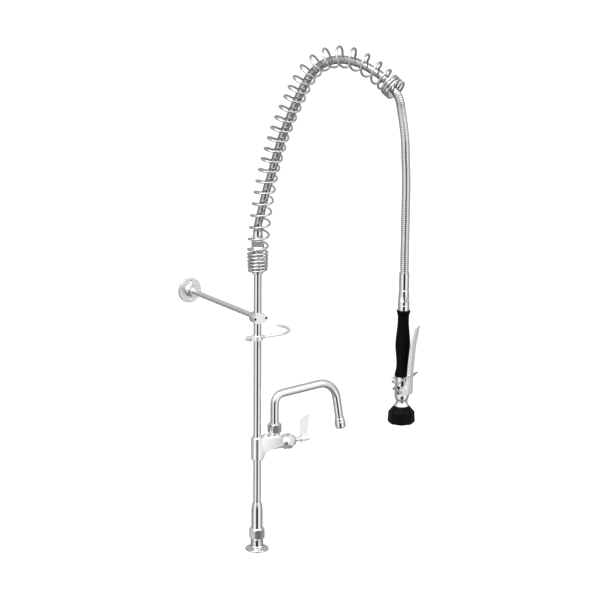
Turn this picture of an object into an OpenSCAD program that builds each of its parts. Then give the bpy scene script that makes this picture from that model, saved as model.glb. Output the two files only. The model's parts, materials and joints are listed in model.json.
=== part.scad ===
// Pre-rinse faucet: deck riser with wall bracket, add-on faucet, spring arch, hose and spray valve.
// Millimetres. +Z is up, the deck is z = 0 and the riser stands on the Z axis.
// The wall is towards +Y, the swinging spout towards +X, and the arch leans out at arch_turn.

/* [Pipes] */
// Outside diameter of the riser and the lower pipe
pipe_d = 17.1; // [15:0.1:19]
// Bore of both pipes
pipe_bore = 12.5; // [9:0.1:13.5]
// Height of the riser's top end above the deck
riser_top = 662; // [600:1:760]
// Heading of the spring arch, seen from above, from +X
arch_turn = -70; // [-90:1:-50]

/* [Base] */
// Diameter of the deck flange
flange_d = 51.4; // [46:0.1:64]
// Thickness of the deck flange at its rim
flange_t = 4.2; // [3.5:0.1:5]
// Diameter of the neck on the flange
base_neck_d = 27.9; // [27:0.1:32]
// Height of the neck above the deck
base_neck_h = 26; // [24:0.5:40]
// Minor diameter of the supply thread
inlet_d = 18.6; // [16:0.1:20]
// Depth of the supply thread
inlet_depth = 16; // [10:0.5:20]
// Outside diameter of the deck gasket
gasket_d = 44; // [38:0.5:45]
// Hole in the deck gasket
gasket_hole = 30; // [24:0.5:34]
// Thickness of the deck gasket
gasket_t = 1.5; // [1:0.1:2]

/* [Union] */
// Diameter of the union's thread on the base neck
union_thread_d = 27.2; // [26.6:0.1:27.6]
// Height of that thread
union_thread_h = 11; // [8:0.5:14]
// Diameter of the union nut over its corners
union_nut_d = 34.8; // [33:0.1:40]
// Height of the union nut
union_nut_h = 24; // [21:0.5:32]
// Thickness of the union's flat washer
union_washer_t = 1.4; // [1:0.1:2.5]
// Height of the sleeve's collar inside the nut
sleeve_collar_h = 5.4; // [3:0.1:6]
// Diameter of the swivel sleeve
sleeve_d = 25; // [23:0.1:26]
// Length of the sleeve's straight part above the nut
sleeve_h = 39; // [20:0.5:60]
// Length of the sleeve's tapered top
sleeve_taper_h = 20; // [10:0.5:30]
// Diameter at the top of the sleeve
sleeve_top_d = 19.4; // [19.2:0.1:22]
// Depth of the pipe's socket in the sleeve
sleeve_socket = 46; // [20:0.5:50]

/* [Add-on faucet] */
// Height of the add-on body's lower end above the deck
addon_z = 207; // [170:1:260]
// Height of the add-on body's collar
addon_h = 51; // [48:0.5:60]
// Diameter of the collar
addon_d = 27; // [24:0.1:32]
// Height of the arm's axis above the collar's lower end
arm_up = 29.5; // [28:0.5:32]
// Diameter of the arm
arm_d = 25; // [24:0.1:27]
// Length of the arm from the riser's axis to its end face
arm_len = 74; // [72:0.5:90]
// Diameter of the ring at the arm's end
arm_ring_d = 33; // [28:0.5:36]
// Length of that ring
arm_ring_t = 5; // [3:0.5:7]
// Distance of the spout's axis from the riser's axis
outlet_x = 44; // [42:0.5:50]
// Diameter of the outlet's thread
outlet_thread_d = 23; // [22:0.1:24]
// Height of the outlet's boss above the arm's axis
outlet_boss = 23; // [18:0.5:24]
// Height of the outlet's thread above the arm's axis
outlet_up = 38; // [34:0.5:40]
// Depth of the pipes' sockets in the collar
addon_socket = 15; // [10:0.5:18]
// Diameter of the plug on top of the arm
plug_d = 12; // [9:0.1:12.4]
// Distance of the plug from the riser's axis
plug_x = 20; // [20:0.1:22]
// Height of the plug's crown above the arm's axis
plug_up = 25; // [18:0.5:28]

/* [Spout] */
// Outside diameter of the spout tube
spout_d = 18.5; // [16:0.1:19]
// Bore of the spout tube
spout_bore = 15.5; // [12:0.1:16]
// Height of the upright leg above the arm's axis
spout_leg = 90; // [70:0.5:160]
// Centre-line radius of the first bend
spout_bend_1 = 22; // [16:0.5:30]
// Rise of the run above level
spout_rise = 4; // [0:0.5:12]
// Length of the run between the bends
spout_run = 93.5; // [60:0.5:200]
// Centre-line radius of the second bend
spout_bend_2 = 45; // [24:0.5:60]
// Lean of the tip out of plumb
spout_lean = 10; // [0:0.5:20]
// Length of the tip after the second bend
spout_tip = 72.5; // [40:0.5:90]
// Diameter of the collar at the spout's end
tip_collar_d = 24; // [20:0.1:26]
// Length of that collar
tip_collar_h = 23; // [16:0.5:28]
// Diameter of the spout nut over its corners
spout_nut_d = 31.6; // [30:0.1:36]
// Height of the spout nut
spout_nut_h = 20; // [19:0.5:26]

/* [Handle] */
// Diameter of the bonnet nut over its corners
bonnet_d = 35; // [28:0.1:38]
// Length of the bonnet's eight-sided part
bonnet_nut_t = 11; // [8:0.5:16]
// Length of the bonnet's rounded nose
bonnet_nose = 11; // [6:0.5:16]
// Diameter of the bonnet's thread in the arm
bonnet_thread_d = 18; // [14:0.1:19]
// Length of that thread
bonnet_thread_h = 12; // [8:0.5:14]
// Diameter of the spindle
spindle_d = 8.5; // [6:0.1:10]
// Length of the spindle that shows between the nose and the handle
spindle_free = 15; // [8:0.5:24]
// Diameter of the handle's hub
hub_d = 14; // [12:0.1:15.6]
// Diameter of the rim on the hub
hub_rim_d = 16.3; // [15.8:0.1:20]
// Length of the hub
hub_len = 22.5; // [16:0.5:26]
// Height of the blade's near edge above the spindle's axis
blade_h = 46; // [30:0.5:60]
// Rise of the blade's slanted top edge
blade_slant = 7.5; // [0:0.5:12]
// Width of the blade where it leaves the hub
blade_w = 15.5; // [10:0.5:18]
// Extra width of the blade at its top
blade_flare = 8; // [0:0.5:12]
// Thickness of the blade
blade_t = 3; // [2:0.1:5]

/* [Finger hook] */
// Height of the hook's ring above the deck
hook_z = 476; // [440:1:495]
// Height of the ring
hook_h = 11; // [9:0.5:16]
// Diameter of the ring
hook_ring_d = 25; // [23:0.1:30]
// Reach of the ring's ears from the riser's axis
hook_ear = 27.5; // [25:0.5:34]
// Thickness of each ear
hook_ear_t = 4; // [3:0.1:5]
// Gap between the ears
hook_slot = 2.4; // [1.5:0.1:3.5]
// Diameter of the hook's rod
hook_rod_d = 6.8; // [5:0.1:8]
// Length of the rod's straight part from the riser's axis
hook_straight = 55; // [40:0.5:80]
// Centre-line radius of the hook's bend
hook_bend = 45; // [30:0.5:50]
// Sweep of the hook's bend
hook_sweep = 118; // [90:1:150]
// Length of the rounded, tapered tip
hook_tip = 7; // [4:0.5:12]
// Diameter at the tip's end
hook_tip_d = 4.2; // [3:0.1:4.8]
// Diameter of the hook's clamp screw
hook_screw_d = 4; // [3:0.1:5]

/* [Wall bracket] */
// Height of the bracket's axis above the deck
bracket_z = 526; // [515:1:600]
// Distance of the wall from the riser's axis
wall_y = 300; // [200:1:400]
// Diameter of the bracket's arm
bracket_d = 12; // [9:0.1:14]
// Width of the clamp
clamp_w = 34.7; // [33:0.1:40]
// Height of the clamp
clamp_h = 21; // [18:0.1:24]
// Depth of the clamp's front half
clamp_front_t = 13; // [11.5:0.1:16]
// Depth of the clamp's back half before its boss
clamp_back_t = 12; // [11.5:0.1:16]
// Gap between the two halves
clamp_gap = 1; // [0.6:0.1:2]
// Diameter of the boss that takes the arm
clamp_boss_d = 20; // [17:0.1:20.8]
// Length of that boss
clamp_boss_h = 7; // [5:0.5:14]
// Spacing of the clamp's screws
clamp_pitch = 27.4; // [25:0.1:28]
// Diameter of the clamp's screws
clamp_screw_d = 4; // [3:0.1:5]
// Diameter of the screws' heads
clamp_head_d = 6.2; // [5.6:0.1:6.6]
// Diameter of the wall flange
wall_flange_d = 57.4; // [52:0.1:70]
// Thickness of the wall flange
wall_flange_t = 4.5; // [3.5:0.1:7]
// Length of the hub on the wall flange
wall_hub_h = 21; // [14:0.5:30]
// Diameter of the hub's collar
wall_collar_d = 21; // [18:0.1:26]
// Diameter of the hub's flared foot
wall_foot_d = 27; // [24:0.5:27.6]
// Spacing of the wall screws' holes
wall_screw_pitch = 39.6; // [39:0.1:44]
// Diameter of those holes
wall_hole_d = 5; // [4:0.1:6]
// Diameter of their countersinks
wall_sink_d = 9.6; // [8:0.1:10]

/* [Spring] */
// Diameter of the spring's wire
wire_d = 5; // [4:0.1:5.2]
// Centre-line radius of the spring's curls
curl_r = 20.7; // [20.4:0.1:22]
// Centre-line radius of its lowest curl
curl_end_r = 18.4; // [18:0.1:20.7]
// Height of the spring seat's collar
seat_collar_h = 5; // [3:0.5:8]
// Diameter of the seat's collar
seat_collar_d = 24.4; // [22:0.1:27]

/* [Hose] */
// Outside diameter of the hose over its ribs
hose_d = 17.5; // [15:0.1:17.6]
// Bore of the hose
hose_bore = 10; // [8:0.1:12]
// Depth of the ribs
rib_depth = 0.9; // [0.4:0.1:1.4]
// Depth that each end of the hose goes into its ferrule
hose_socket = 12; // [8:0.5:14]

/* [Riser top] */
// Diameter of the coupling's neck
neck_d = 21; // [20.4:0.1:22]
// Length of the coupling's neck over the riser
neck_over = 12; // [8:0.5:14]
// Diameter of the coupling's bevelled collar
coupling_d = 30; // [27:0.1:31]
// Height of the coupling's bevelled collar above the riser's end
coupling_up = 20.5; // [16:0.5:21]
// Width of the hose nut over its corners
hose_nut_d = 27.6; // [25:0.1:29]
// Height of the hose nut
hose_nut_h = 10.5; // [9.5:0.5:11]
// Diameter of the lower ferrule at its foot
lower_ferrule_d = 22.6; // [21:0.1:24]

/* [Spray valve] */
// Diameter of the upper ferrule
ferrule_d = 20.5; // [20:0.1:23]
// Length of the upper ferrule
ferrule_h = 34.3; // [24:0.1:40]
// Gap between the ferrule and the adapter that turns on it
swivel_gap = 1.2; // [0.6:0.1:2]
// Length of the swivel adapter
adapter_h = 30.5; // [24:0.5:40]
// Diameter at the adapter's foot
adapter_d = 23.6; // [22.5:0.1:25]
// Height of the ring between adapter and grip
ring_h = 11; // [9:0.5:16]
// Length of the grip
grip_h = 137.3; // [130:0.1:145]
// Pitch of the grip's ribs
grip_pitch = 3.8; // [3:0.1:6]
// Depth of the grip's ribs
grip_rib = 0.5; // [0:0.1:0.8]
// Bore of the grip
grip_bore = 18; // [15:0.1:19]
// Diameter of the valve's body
body_d = 30; // [29.4:0.1:30.4]
// Length of the valve's body
body_h = 44.7; // [43:0.1:50]
// Diameter at the waist below the body
waist_d = 24; // [21:0.1:26]
// Length of the neck below the body
waist_h = 19; // [16:0.5:24]
// Diameter of the spray head
head_d = 43; // [36:0.5:46]
// Width of the bumper over its corners
bumper_d = 56; // [53:0.1:62]
// Height of the bumper
bumper_h = 36; // [34:0.5:44]
// Thickness of the spray face
face_t = 2; // [1.2:0.1:3]
// Diameter of the bolt's cap at the back of the body
back_cap_d = 14; // [12:0.1:16]
// Reach of that cap from the valve's axis
back_cap_reach = 22.5; // [19:0.5:26]

/* [Lever] */
// Drop of the lever's pivot below the grip
pivot_drop = 30.7; // [29.5:0.1:32]
// Distance of the pivot in front of the valve's axis
pivot_x = 5; // [4:0.1:6]
// Diameter of the pivot pin
pivot_d = 4; // [3:0.1:5]
// Diameter of the pivot pin's heads
pivot_head_d = 7; // [6:0.1:9]
// Drop of the valve stem below the grip
stem_drop = 12.7; // [11:0.1:14]
// Diameter of the valve stem
stem_d = 5; // [4:0.1:5.4]
// Thickness of the lever's plate
lever_t = 1.6; // [1.2:0.1:1.9]
// Width over the lever's ears
ear_w = 24; // [23.6:0.1:25]
// Radius of the lever's ears
ear_r = 5.5; // [5:0.1:6]
// Diameter of the hold-down ring's wire
bail_wire = 2.7; // [2:0.1:2.9]
// Half the width of the hold-down ring
bail_half = 17.2; // [17:0.1:22]

/* [Clearances] */
// Radial clearance of a piece that is screwed or pushed into another
fit = 0.05; // [0.02:0.01:0.15]
// Radial clearance of a shaft that turns or slides
run_fit = 0.05; // [0.02:0.01:0.09]
// Gap between pieces that move past each other
free_gap = 0.3; // [0.2:0.05:0.6]

/* [Hidden] */
$fn = 48;
eps = 0.01;
over = 1;
chrome = [0.8, 0.81, 0.83];
satin = [0.66, 0.67, 0.69];
black = [0.06, 0.06, 0.065];
white_seal = [0.85, 0.84, 0.8];
pipe_r = pipe_d / 2;

// ---- Shared shapes ----

// Points of an arc round c from angle a to angle b
function arc(c, r, a, b, n = 6) = [for (i = [0:n]) c + r * [cos(a + (b - a) * i / n), sin(a + (b - a) * i / n)]];

// A turned piece from its outline, given as [radius, height] points
module turned(points) {
    rotate_extrude()
        polygon(points);
}

// A flat ring or tube standing on z
module ring(d, hole, z, h) {
    difference() {
        translate([0, 0, z])
            cylinder(d = d, h = h);
        translate([0, 0, z - over])
            cylinder(d = hole, h = h + 2 * over);
    }
}

// A round bore from z upwards
module bore(d, z, h) {
    translate([0, 0, z])
        cylinder(d = d, h = h);
}

// Turns the Z axis of its children towards +X
module along_x() {
    rotate([0, 90, 0])
        children();
}

// A many-sided nut with its end edges chamfered
module nut(d, sides, z, h, chamfer) {
    face = d * cos(180 / sides) / 2 - chamfer / 2;
    outside = d / 2 + over;
    rise = chamfer * (outside - face) / (d / 2 - face);
    intersection() {
        translate([0, 0, z])
            rotate([0, 0, 180 / sides])
                cylinder(d = d, h = h, $fn = sides);
        turned([[0, z], [face, z], [outside, z + rise], [outside, z + h - rise], [face, z + h], [0, z + h]]);
    }
}

// ---- Curves through chosen points ----

// Point of a smooth curve through the points r, at t steps along them
function route_at(r, t) = let (n = len(r) - 1, i = min(max(floor(t), 0), n - 1), f = t - i,
    b = r[i], c = r[i + 1], a = i > 0 ? r[i - 1] : 2 * b - c, d = i + 2 <= n ? r[i + 2] : 2 * c - b)
    0.5 * (2 * b + (c - a) * f + (2 * a - 5 * b + 4 * c - d) * f * f + (3 * b - a - 3 * c + d) * f * f * f);
function unit(v) = v / norm(v);
route_step = 0.02;
// Direction of the curve at t
function route_dir(r, t) = unit(route_at(r, min(t + route_step, len(r) - 1)) - route_at(r, max(t - route_step, 0)));
// [length so far, t] along a curve, for looking up the t of a length
function route_lengths(r, k = 12) = [for (i = 0, s = 0; i <= (len(r) - 1) * k;
    i = i + 1, s = s + norm(route_at(r, i / k) - route_at(r, (i - 1) / k))) [s, i / k]];
// Faces of a tube of n rings with m points each, open at both ends
function wall_faces(n, m, start = 0) = [for (i = [0:n - 2], j = [0:m - 1], k = [0, 1])
    let (a = start + i * m + j, b = start + i * m + (j + 1) % m)
    k == 0 ? [a, b, a + m] : [b, b + m, a + m]];
function cap_faces(m, start) = [for (j = [1:m - 2]) [start, start + j + 1, start + j]];
function flipped(faces) = [for (f = faces) [f[2], f[1], f[0]]];
// A ring of m points round c, square to dir
function ring_points(c, dir, r, m) = let (e = unit(cross([0, 1, 0], dir)), g = cross(dir, e))
    [for (j = [0:m - 1]) c + r * (cos(360 * j / m) * e + sin(360 * j / m) * g)];

// ---- The arch's frame: X out from the riser, Y sideways, z = 0 at the riser's top end ----

module arch_frame() {
    translate([0, 0, riser_top])
        rotate([0, 0, arch_turn])
            children();
}

// Centre line of the spring, one point for each curl
spring_route = [[0, 0, -33], [0, 0, -26], [0, 0, -19], [0, 0, -12], [0, 0, -4], [0, 0, 3], [0, 0, 12],
    [2, 0, 34], [5, 0, 59], [8, 0, 85], [12, 0, 110], [17, 0, 135], [22, 0, 159], [28, 0, 183],
    [35, 0, 206], [43, 0, 228], [51, 0, 251], [60, 0, 273], [70, 0, 295], [81, 0, 317], [93, 0, 339],
    [104, 0, 359], [116, 0, 379], [132, 0, 400], [154, 0, 418], [181, 0, 431], [212, 0, 436],
    [243, 0, 434], [273, 0, 425], [300, 0, 412], [320, 0, 400], [331, 0, 391], [337, 0, 387],
    [343, 0, 383], [349, 0, 379]];
// Centre line of the hose from one ferrule to the other
hose_route = [[0, 0, 41], [0, 0, 60], [3, 0, 75], [8, 0, 92], [13, 1, 112], [19, 2, 135], [26, 3, 158],
    [34, 4, 181], [41, 4, 204], [49, 4, 226], [57, 4, 249], [66, 4, 271], [76, 4, 292], [87, 4, 314],
    [98, 4, 336], [109, 4, 356], [121, 4, 376], [136, 4, 396], [157, 3, 413], [183, 2, 425],
    [212, 1, 430], [242, 0, 429], [272, 0, 422], [300, 0, 411], [321, 0, 400], [331, 0, 391],
    [340, 0, 383], [350, 0, 373], [357, 0, 361], [361, 0, 345], [367, 0, 316], [372, 0, 284],
    [374, 0, 252], [376, 0, 220], [377, 0, 185], [377, 0, 150], [377, 0, 115], [377, 0, 80],
    [377, 0, 45], [377, 0, 25], [377, 0, 5]];
hose_start = hose_route[0];
hose_end = hose_route[len(hose_route) - 1];

// ---- Base ----

inlet_step = 13;

module base_gasket() {
    color(black)
        ring(gasket_d, gasket_hole, 0, gasket_t);
}

module base_flange() {
    rim = flange_d / 2;
    neck = base_neck_d / 2;
    groove = 0.8;
    dome = 2.4;
    color(chrome)
        difference() {
            turned(concat([[0, 0], [rim - dome / 2, 0], [rim, dome / 2], [rim, flange_t - dome]],
                arc([rim - dome, flange_t - dome], dome, 0, 80),
                [[neck + 8, flange_t + 1], [neck + 3.4, flange_t + 2.2], [neck + 1.2, flange_t + 3.6],
                [neck, flange_t + 6], [neck, base_neck_h - 4], [neck - groove, base_neck_h - 3.6],
                [neck - groove, base_neck_h - 2.4], [neck, base_neck_h - 2], [neck, base_neck_h],
                [union_thread_d / 2, base_neck_h], [union_thread_d / 2, base_neck_h + union_thread_h],
                [0, base_neck_h + union_thread_h]]));
            bore(inlet_d, -over, inlet_depth + over);
            bore(inlet_step, 0, base_neck_h + union_thread_h + over);
            difference() {
                bore(gasket_d + 2 * fit, -over, gasket_t + over);
                bore(gasket_hole - 2 * fit, -2 * over, gasket_t + 3 * over);
            }
        }
}

union_top = base_neck_h + fit + union_nut_h;
washer_z = base_neck_h + union_thread_h;
sleeve_z = washer_z + union_washer_t;
collar_top = sleeve_z + sleeve_collar_h;
sleeve_top = union_top + sleeve_h + sleeve_taper_h;
pipe_start = sleeve_top - sleeve_socket;

module union_washer() {
    color(black)
        ring(union_thread_d - 1, inlet_step + 1, washer_z, union_washer_t);
}

module union_nut() {
    chamfer = 2.5;
    color(chrome)
        difference() {
            nut(union_nut_d, 8, base_neck_h + fit, union_nut_h, chamfer);
            bore(union_thread_d + 2 * fit, base_neck_h - over, collar_top + fit - base_neck_h + over);
            bore(sleeve_d + 2 * fit, base_neck_h, union_nut_h + 2 * over);
        }
}

module swivel_sleeve() {
    collar = union_thread_d / 2 - fit;
    r = sleeve_d / 2;
    top = sleeve_top_d / 2;
    straight = union_top + sleeve_h;
    color(chrome)
        difference() {
            turned(concat([[0, sleeve_z], [collar, sleeve_z], [collar, collar_top], [r, collar_top]],
                [for (i = [0:8]) [top + (r - top) * cos(90 * i / 8), straight + sleeve_taper_h * i / 8]],
                [[0, sleeve_top]]));
            bore(inlet_step, sleeve_z - over, sleeve_top);
            bore(pipe_d + 2 * fit, pipe_start, sleeve_socket + over);
        }
}

module lower_pipe() {
    color(chrome)
        ring(pipe_d, pipe_bore, pipe_start, addon_z + addon_socket - pipe_start);
}

// ---- Add-on faucet ----

arm_z = addon_z + arm_up;
seat_x = outlet_x - spout_bore / 2 - 5;
chamber_d = bonnet_thread_d + 2 * fit;
arm_crown = arm_d / 2;
riser_start = addon_z + addon_h - addon_socket;
leg_bore = spout_d + 2 * free_gap;
leg_start = arm_crown + 5;
thread_top = outlet_up;

// The web under the arm, with its hollow curve
module arm_web() {
    reach = 24;
    r = arm_up - arm_d / 2 + 3;
    intersection() {
        rotate([90, 0, 0])
            translate([0, addon_z, -arm_d / 2])
                linear_extrude(arm_d)
                    difference() {
                        translate([0, 4])
                            square([reach, arm_up - 4]);
                        translate([reach + 6, arm_up - arm_d / 2 - r])
                            circle(r = r);
                    }
        translate([0, 0, addon_z])
            hull() {
                cylinder(d = addon_d - 1, h = arm_up, $fn = 32);
                translate([reach - 6, 0, 0])
                    cylinder(d = arm_d - 7, h = arm_up, $fn = 32);
            }
    }
}

module addon_body() {
    edge = 3;
    flare = 7;
    color(chrome)
        difference() {
            union() {
                turned(concat([[0, addon_z]], arc([addon_d / 2 - edge, addon_z + edge], edge, -70, 0),
                    [[addon_d / 2, addon_z + addon_h - 1], [addon_d / 2 - 1, addon_z + addon_h],
                    [0, addon_z + addon_h]]));
                translate([0, 0, arm_z])
                    along_x()
                        cylinder(d = arm_d, h = arm_len);
                translate([arm_len - arm_ring_t - flare, 0, arm_z])
                    along_x()
                        turned([[0, 0], [arm_d / 2, 0], [arm_ring_d / 2, flare],
                            [arm_ring_d / 2, flare + arm_ring_t], [0, flare + arm_ring_t]]);
                arm_web();
                translate([outlet_x, 0, arm_z])
                    cylinder(d = outlet_thread_d + 2, h = outlet_boss);
                translate([outlet_x, 0, arm_z])
                    cylinder(d = outlet_thread_d, h = thread_top);
            }
            bore(pipe_d + 2 * fit, addon_z - over, addon_socket + over);
            bore(pipe_bore, addon_z, addon_h);
            bore(pipe_d + 2 * fit, riser_start, addon_socket + over);
            translate([0, 0, arm_z])
                along_x()
                    cylinder(d = pipe_bore - 4, h = arm_len);
            translate([seat_x, 0, arm_z])
                along_x()
                    cylinder(d = chamber_d, h = arm_len);
            translate([outlet_x, 0, arm_z]) {
                bore(spout_bore, 0, leg_start + over);
                bore(leg_bore, leg_start, thread_top);
            }
            translate([plug_x, 0, arm_z])
                bore(plug_d - 3 + 2 * fit, 0, arm_crown + over);
        }
}

module arm_plug() {
    r = plug_d / 2;
    foot = arm_crown + 0.2;
    color(chrome)
        translate([plug_x, 0, arm_z]) {
            turned([[0, foot - 5], [r - 1.5, foot - 5], [r - 1.5, foot], [r, foot], [r, plug_up - 3],
                [r - 0.8, plug_up - 1.2], [r - 2.4, plug_up - 0.2], [0, plug_up]]);
        }
}

module riser_pipe() {
    color(chrome)
        ring(pipe_d, pipe_bore, riser_start, riser_top - riser_start);
}

// ---- Spout: turns about its leg, which stands in the outlet ----

spout_collar_d = outlet_thread_d - 1.4;
spout_collar_h = 4;
spout_foot = leg_start + free_gap;
spout_nut_z = outlet_boss + 3;
spout_nut_top = spout_nut_z + spout_nut_h;
spout_collar_z = thread_top + free_gap;
lap = 0.03;
mouth_lip = 4;

// Moves its children to the end of a bend of radius r through a
module after_bend(r, a) {
    translate([r - r * cos(a), 0, r * sin(a)])
        rotate([0, a, 0])
            children();
}

// A solid bend that leaves straight up and turns towards +X
module bend(r, a, d) {
    translate([r, 0, 0])
        rotate([90, 0, 0])
            rotate_extrude(start = 180, angle = -a)
                translate([r, 0])
                    circle(d = d);
}

// A straight length that laps a hair over the bends beside it
module straight(d, h) {
    bore(d + 2 * lap, -lap, h + 2 * lap);
}

// The bent shape from the foot to the tip, as a bar of diameter d
module spout_bar(d, longer) {
    turn_1 = 90 - spout_rise;
    turn_2 = 90 + spout_rise - spout_lean;
    translate([0, 0, spout_foot - longer])
        straight(d, spout_leg - spout_foot + longer);
    translate([0, 0, spout_leg]) {
        bend(spout_bend_1, turn_1, d);
        after_bend(spout_bend_1, turn_1) {
            straight(d, spout_run);
            translate([0, 0, spout_run]) {
                bend(spout_bend_2, turn_2, d);
                after_bend(spout_bend_2, turn_2)
                    straight(d, spout_tip - mouth_lip + longer);
            }
        }
    }
}

// Places its children at the spout's mouth, looking along the flow
module at_mouth() {
    translate([outlet_x, 0, arm_z + spout_leg])
        after_bend(spout_bend_1, 90 - spout_rise)
            translate([0, 0, spout_run])
                after_bend(spout_bend_2, 90 + spout_rise - spout_lean)
                    translate([0, 0, spout_tip])
                        children();
}

seal_d = 0.8;
seal_depth = 0.6;
seal_up = 4;

module spout_tube() {
    color(chrome)
        translate([outlet_x, 0, arm_z])
            difference() {
                union() {
                    spout_bar(spout_d, 0);
                    bore(spout_collar_d, spout_collar_z, spout_collar_h);
                }
                spout_bar(spout_bore, over);
                rotate_extrude()
                    translate([spout_d / 2 - seal_depth, spout_foot + seal_up - seal_d])
                        square([seal_depth + over, 2 * seal_d]);
            }
}

module spout_seal() {
    color(black)
        translate([outlet_x, 0, arm_z + spout_foot + seal_up])
            rotate_extrude()
                translate([spout_d / 2 - seal_depth + fit + seal_d / 2, 0])
                    circle(d = seal_d);
}

module spout_nut() {
    chamfer = 2;
    lip = spout_collar_z + spout_collar_h + free_gap;
    color(chrome)
        translate([outlet_x, 0, arm_z])
            difference() {
                nut(spout_nut_d, 8, spout_nut_z, spout_nut_h, chamfer);
                bore(outlet_thread_d + 2 * fit, spout_nut_z - over, lip - spout_nut_z + over);
                bore(leg_bore, spout_nut_z, spout_nut_h + over);
            }
}

module spout_end() {
    r = tip_collar_d / 2;
    neck = spout_d / 2 + 1;
    h = tip_collar_h;
    color(chrome)
        at_mouth()
            difference() {
                turned([[0, -h], [neck, -h], [neck + 0.8, -h + 1.5], [r - 1, -h + 6], [r, -h + 9], [r, -3],
                    [r - 1, 0], [0, 0]]);
                bore(spout_d + 2 * lap + 2 * fit, -h - over, h - mouth_lip + lap + fit + over);
                bore(spout_d - 1, -h, h + over);
            }
}

screen_t = 1.6;

module outlet_screen() {
    d = spout_d - 1 - 2 * fit;
    hole = 1.6;
    rings = [[0, 1], [3, 6], [5.6, 12]];
    color(satin)
        at_mouth()
            difference() {
                translate([0, 0, -screen_t - 1])
                    cylinder(d = d, h = screen_t);
                for (row = rings)
                    for (i = [0:row[1] - 1])
                        rotate([0, 0, 360 * i / row[1]])
                            translate([row[0], 0, -screen_t - 1 - over])
                                cylinder(d = hole, h = screen_t + 2 * over, $fn = 16);
            }
}

// ---- Valve of the add-on faucet, along +X from the end of the arm ----

bonnet_x = arm_len + 1;
nose_x = bonnet_x + bonnet_nut_t;
nose_end = nose_x + bonnet_nose;
hub_x = nose_end + spindle_free;
spindle_bore = spindle_d + 2 * run_fit;

module arm_axis() {
    translate([0, 0, arm_z])
        along_x()
            children();
}

module bonnet() {
    chamfer = 2.4;
    base_r = bonnet_d * 0.42;
    color(chrome)
        arm_axis()
            difference() {
                union() {
                    nut(bonnet_d, 8, bonnet_x, bonnet_nut_t, chamfer);
                    bore(arm_ring_d - 3, arm_len, bonnet_x - arm_len + eps);
                    bore(bonnet_thread_d, arm_len - bonnet_thread_h, bonnet_thread_h + eps);
                    turned(concat([[0, nose_x - over], [base_r - 1, nose_x - over]],
                        [for (i = [0:6]) [spindle_d / 2 + 1 + (base_r - spindle_d / 2 - 2) * cos(15 * i),
                        nose_x + bonnet_nose * sin(15 * i)]], [[0, nose_end]]));
                }
                bore(spindle_bore, arm_len - bonnet_thread_h - over, nose_end);
                bore(spindle_d + 4, nose_x, bonnet_nose - 5);
            }
}

module stem_packing() {
    color(white_seal)
        arm_axis()
            ring(spindle_d + 4 - 2 * fit, spindle_d + 2 * run_fit, nose_x + 1, bonnet_nose - 7);
}

disc_h = 3;
disc_lift = 1;
disc_x = seat_x + disc_lift;

module spindle() {
    color(chrome)
        arm_axis() {
            bore(spindle_d, disc_x + disc_h, hub_x + 7 - disc_x - disc_h);
            bore(3, disc_x - 1, disc_h + 2);
        }
}

module seat_disc() {
    color(black)
        arm_axis()
            ring(chamber_d - 2 * free_gap, 3 + 2 * fit, disc_x, disc_h);
}

// Blade outline in the plane of the spindle's axis, [along the spindle, up]
function blade_outline() = let (cut = 1.2, top = blade_h + blade_slant, wide = blade_w + blade_flare) [[0, 0],
    [0, blade_h - cut], [cut, blade_h], [wide - 3, top], [wide - 1.2, top - 0.6], [wide, top - 2.4],
    [wide - 0.6, top - 5], [blade_w + 1, blade_h * 0.35], [blade_w, hub_d / 2 + 3], [blade_w + 2, hub_d / 2],
    [blade_w + 2, 0]];

module handle() {
    rim_t = 3;
    bevel = 3;
    socket = 7.2;
    screw_d = 4;
    color(chrome)
        translate([hub_x, 0, arm_z])
            difference() {
                union() {
                    along_x()
                        turned([[0, 0], [hub_rim_d / 2 - 0.6, 0], [hub_rim_d / 2, 0.6],
                            [hub_rim_d / 2, rim_t - 0.6], [hub_d / 2, rim_t], [hub_d / 2, hub_len - bevel],
                            [hub_d / 2 - bevel, hub_len], [0, hub_len]]);
                    rotate([90, 0, 0])
                        translate([0, 0, -blade_t / 2])
                            linear_extrude(blade_t)
                                polygon(blade_outline());
                }
                along_x() {
                    bore(spindle_d + 2 * fit, -over, socket + over);
                    bore(screw_d + 2 * fit, 0, hub_len + over);
                    bore(7 + 2 * fit, hub_len - 3, 3 + over);
                }
            }
}

module handle_screw() {
    color(satin)
        translate([hub_x, 0, arm_z])
            along_x()
                difference() {
                    union() {
                        bore(4, 7.2, hub_len - 9);
                        bore(7, hub_len - 3 + eps, 2.6);
                    }
                    translate([0, 0, hub_len - 1.4])
                        cylinder(d = 3, h = 2, $fn = 6);
                }
}

// ---- Finger hook ----

hook_mid = hook_z + hook_h / 2;
rod_start = hook_ring_d / 2 - 2.5;

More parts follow.
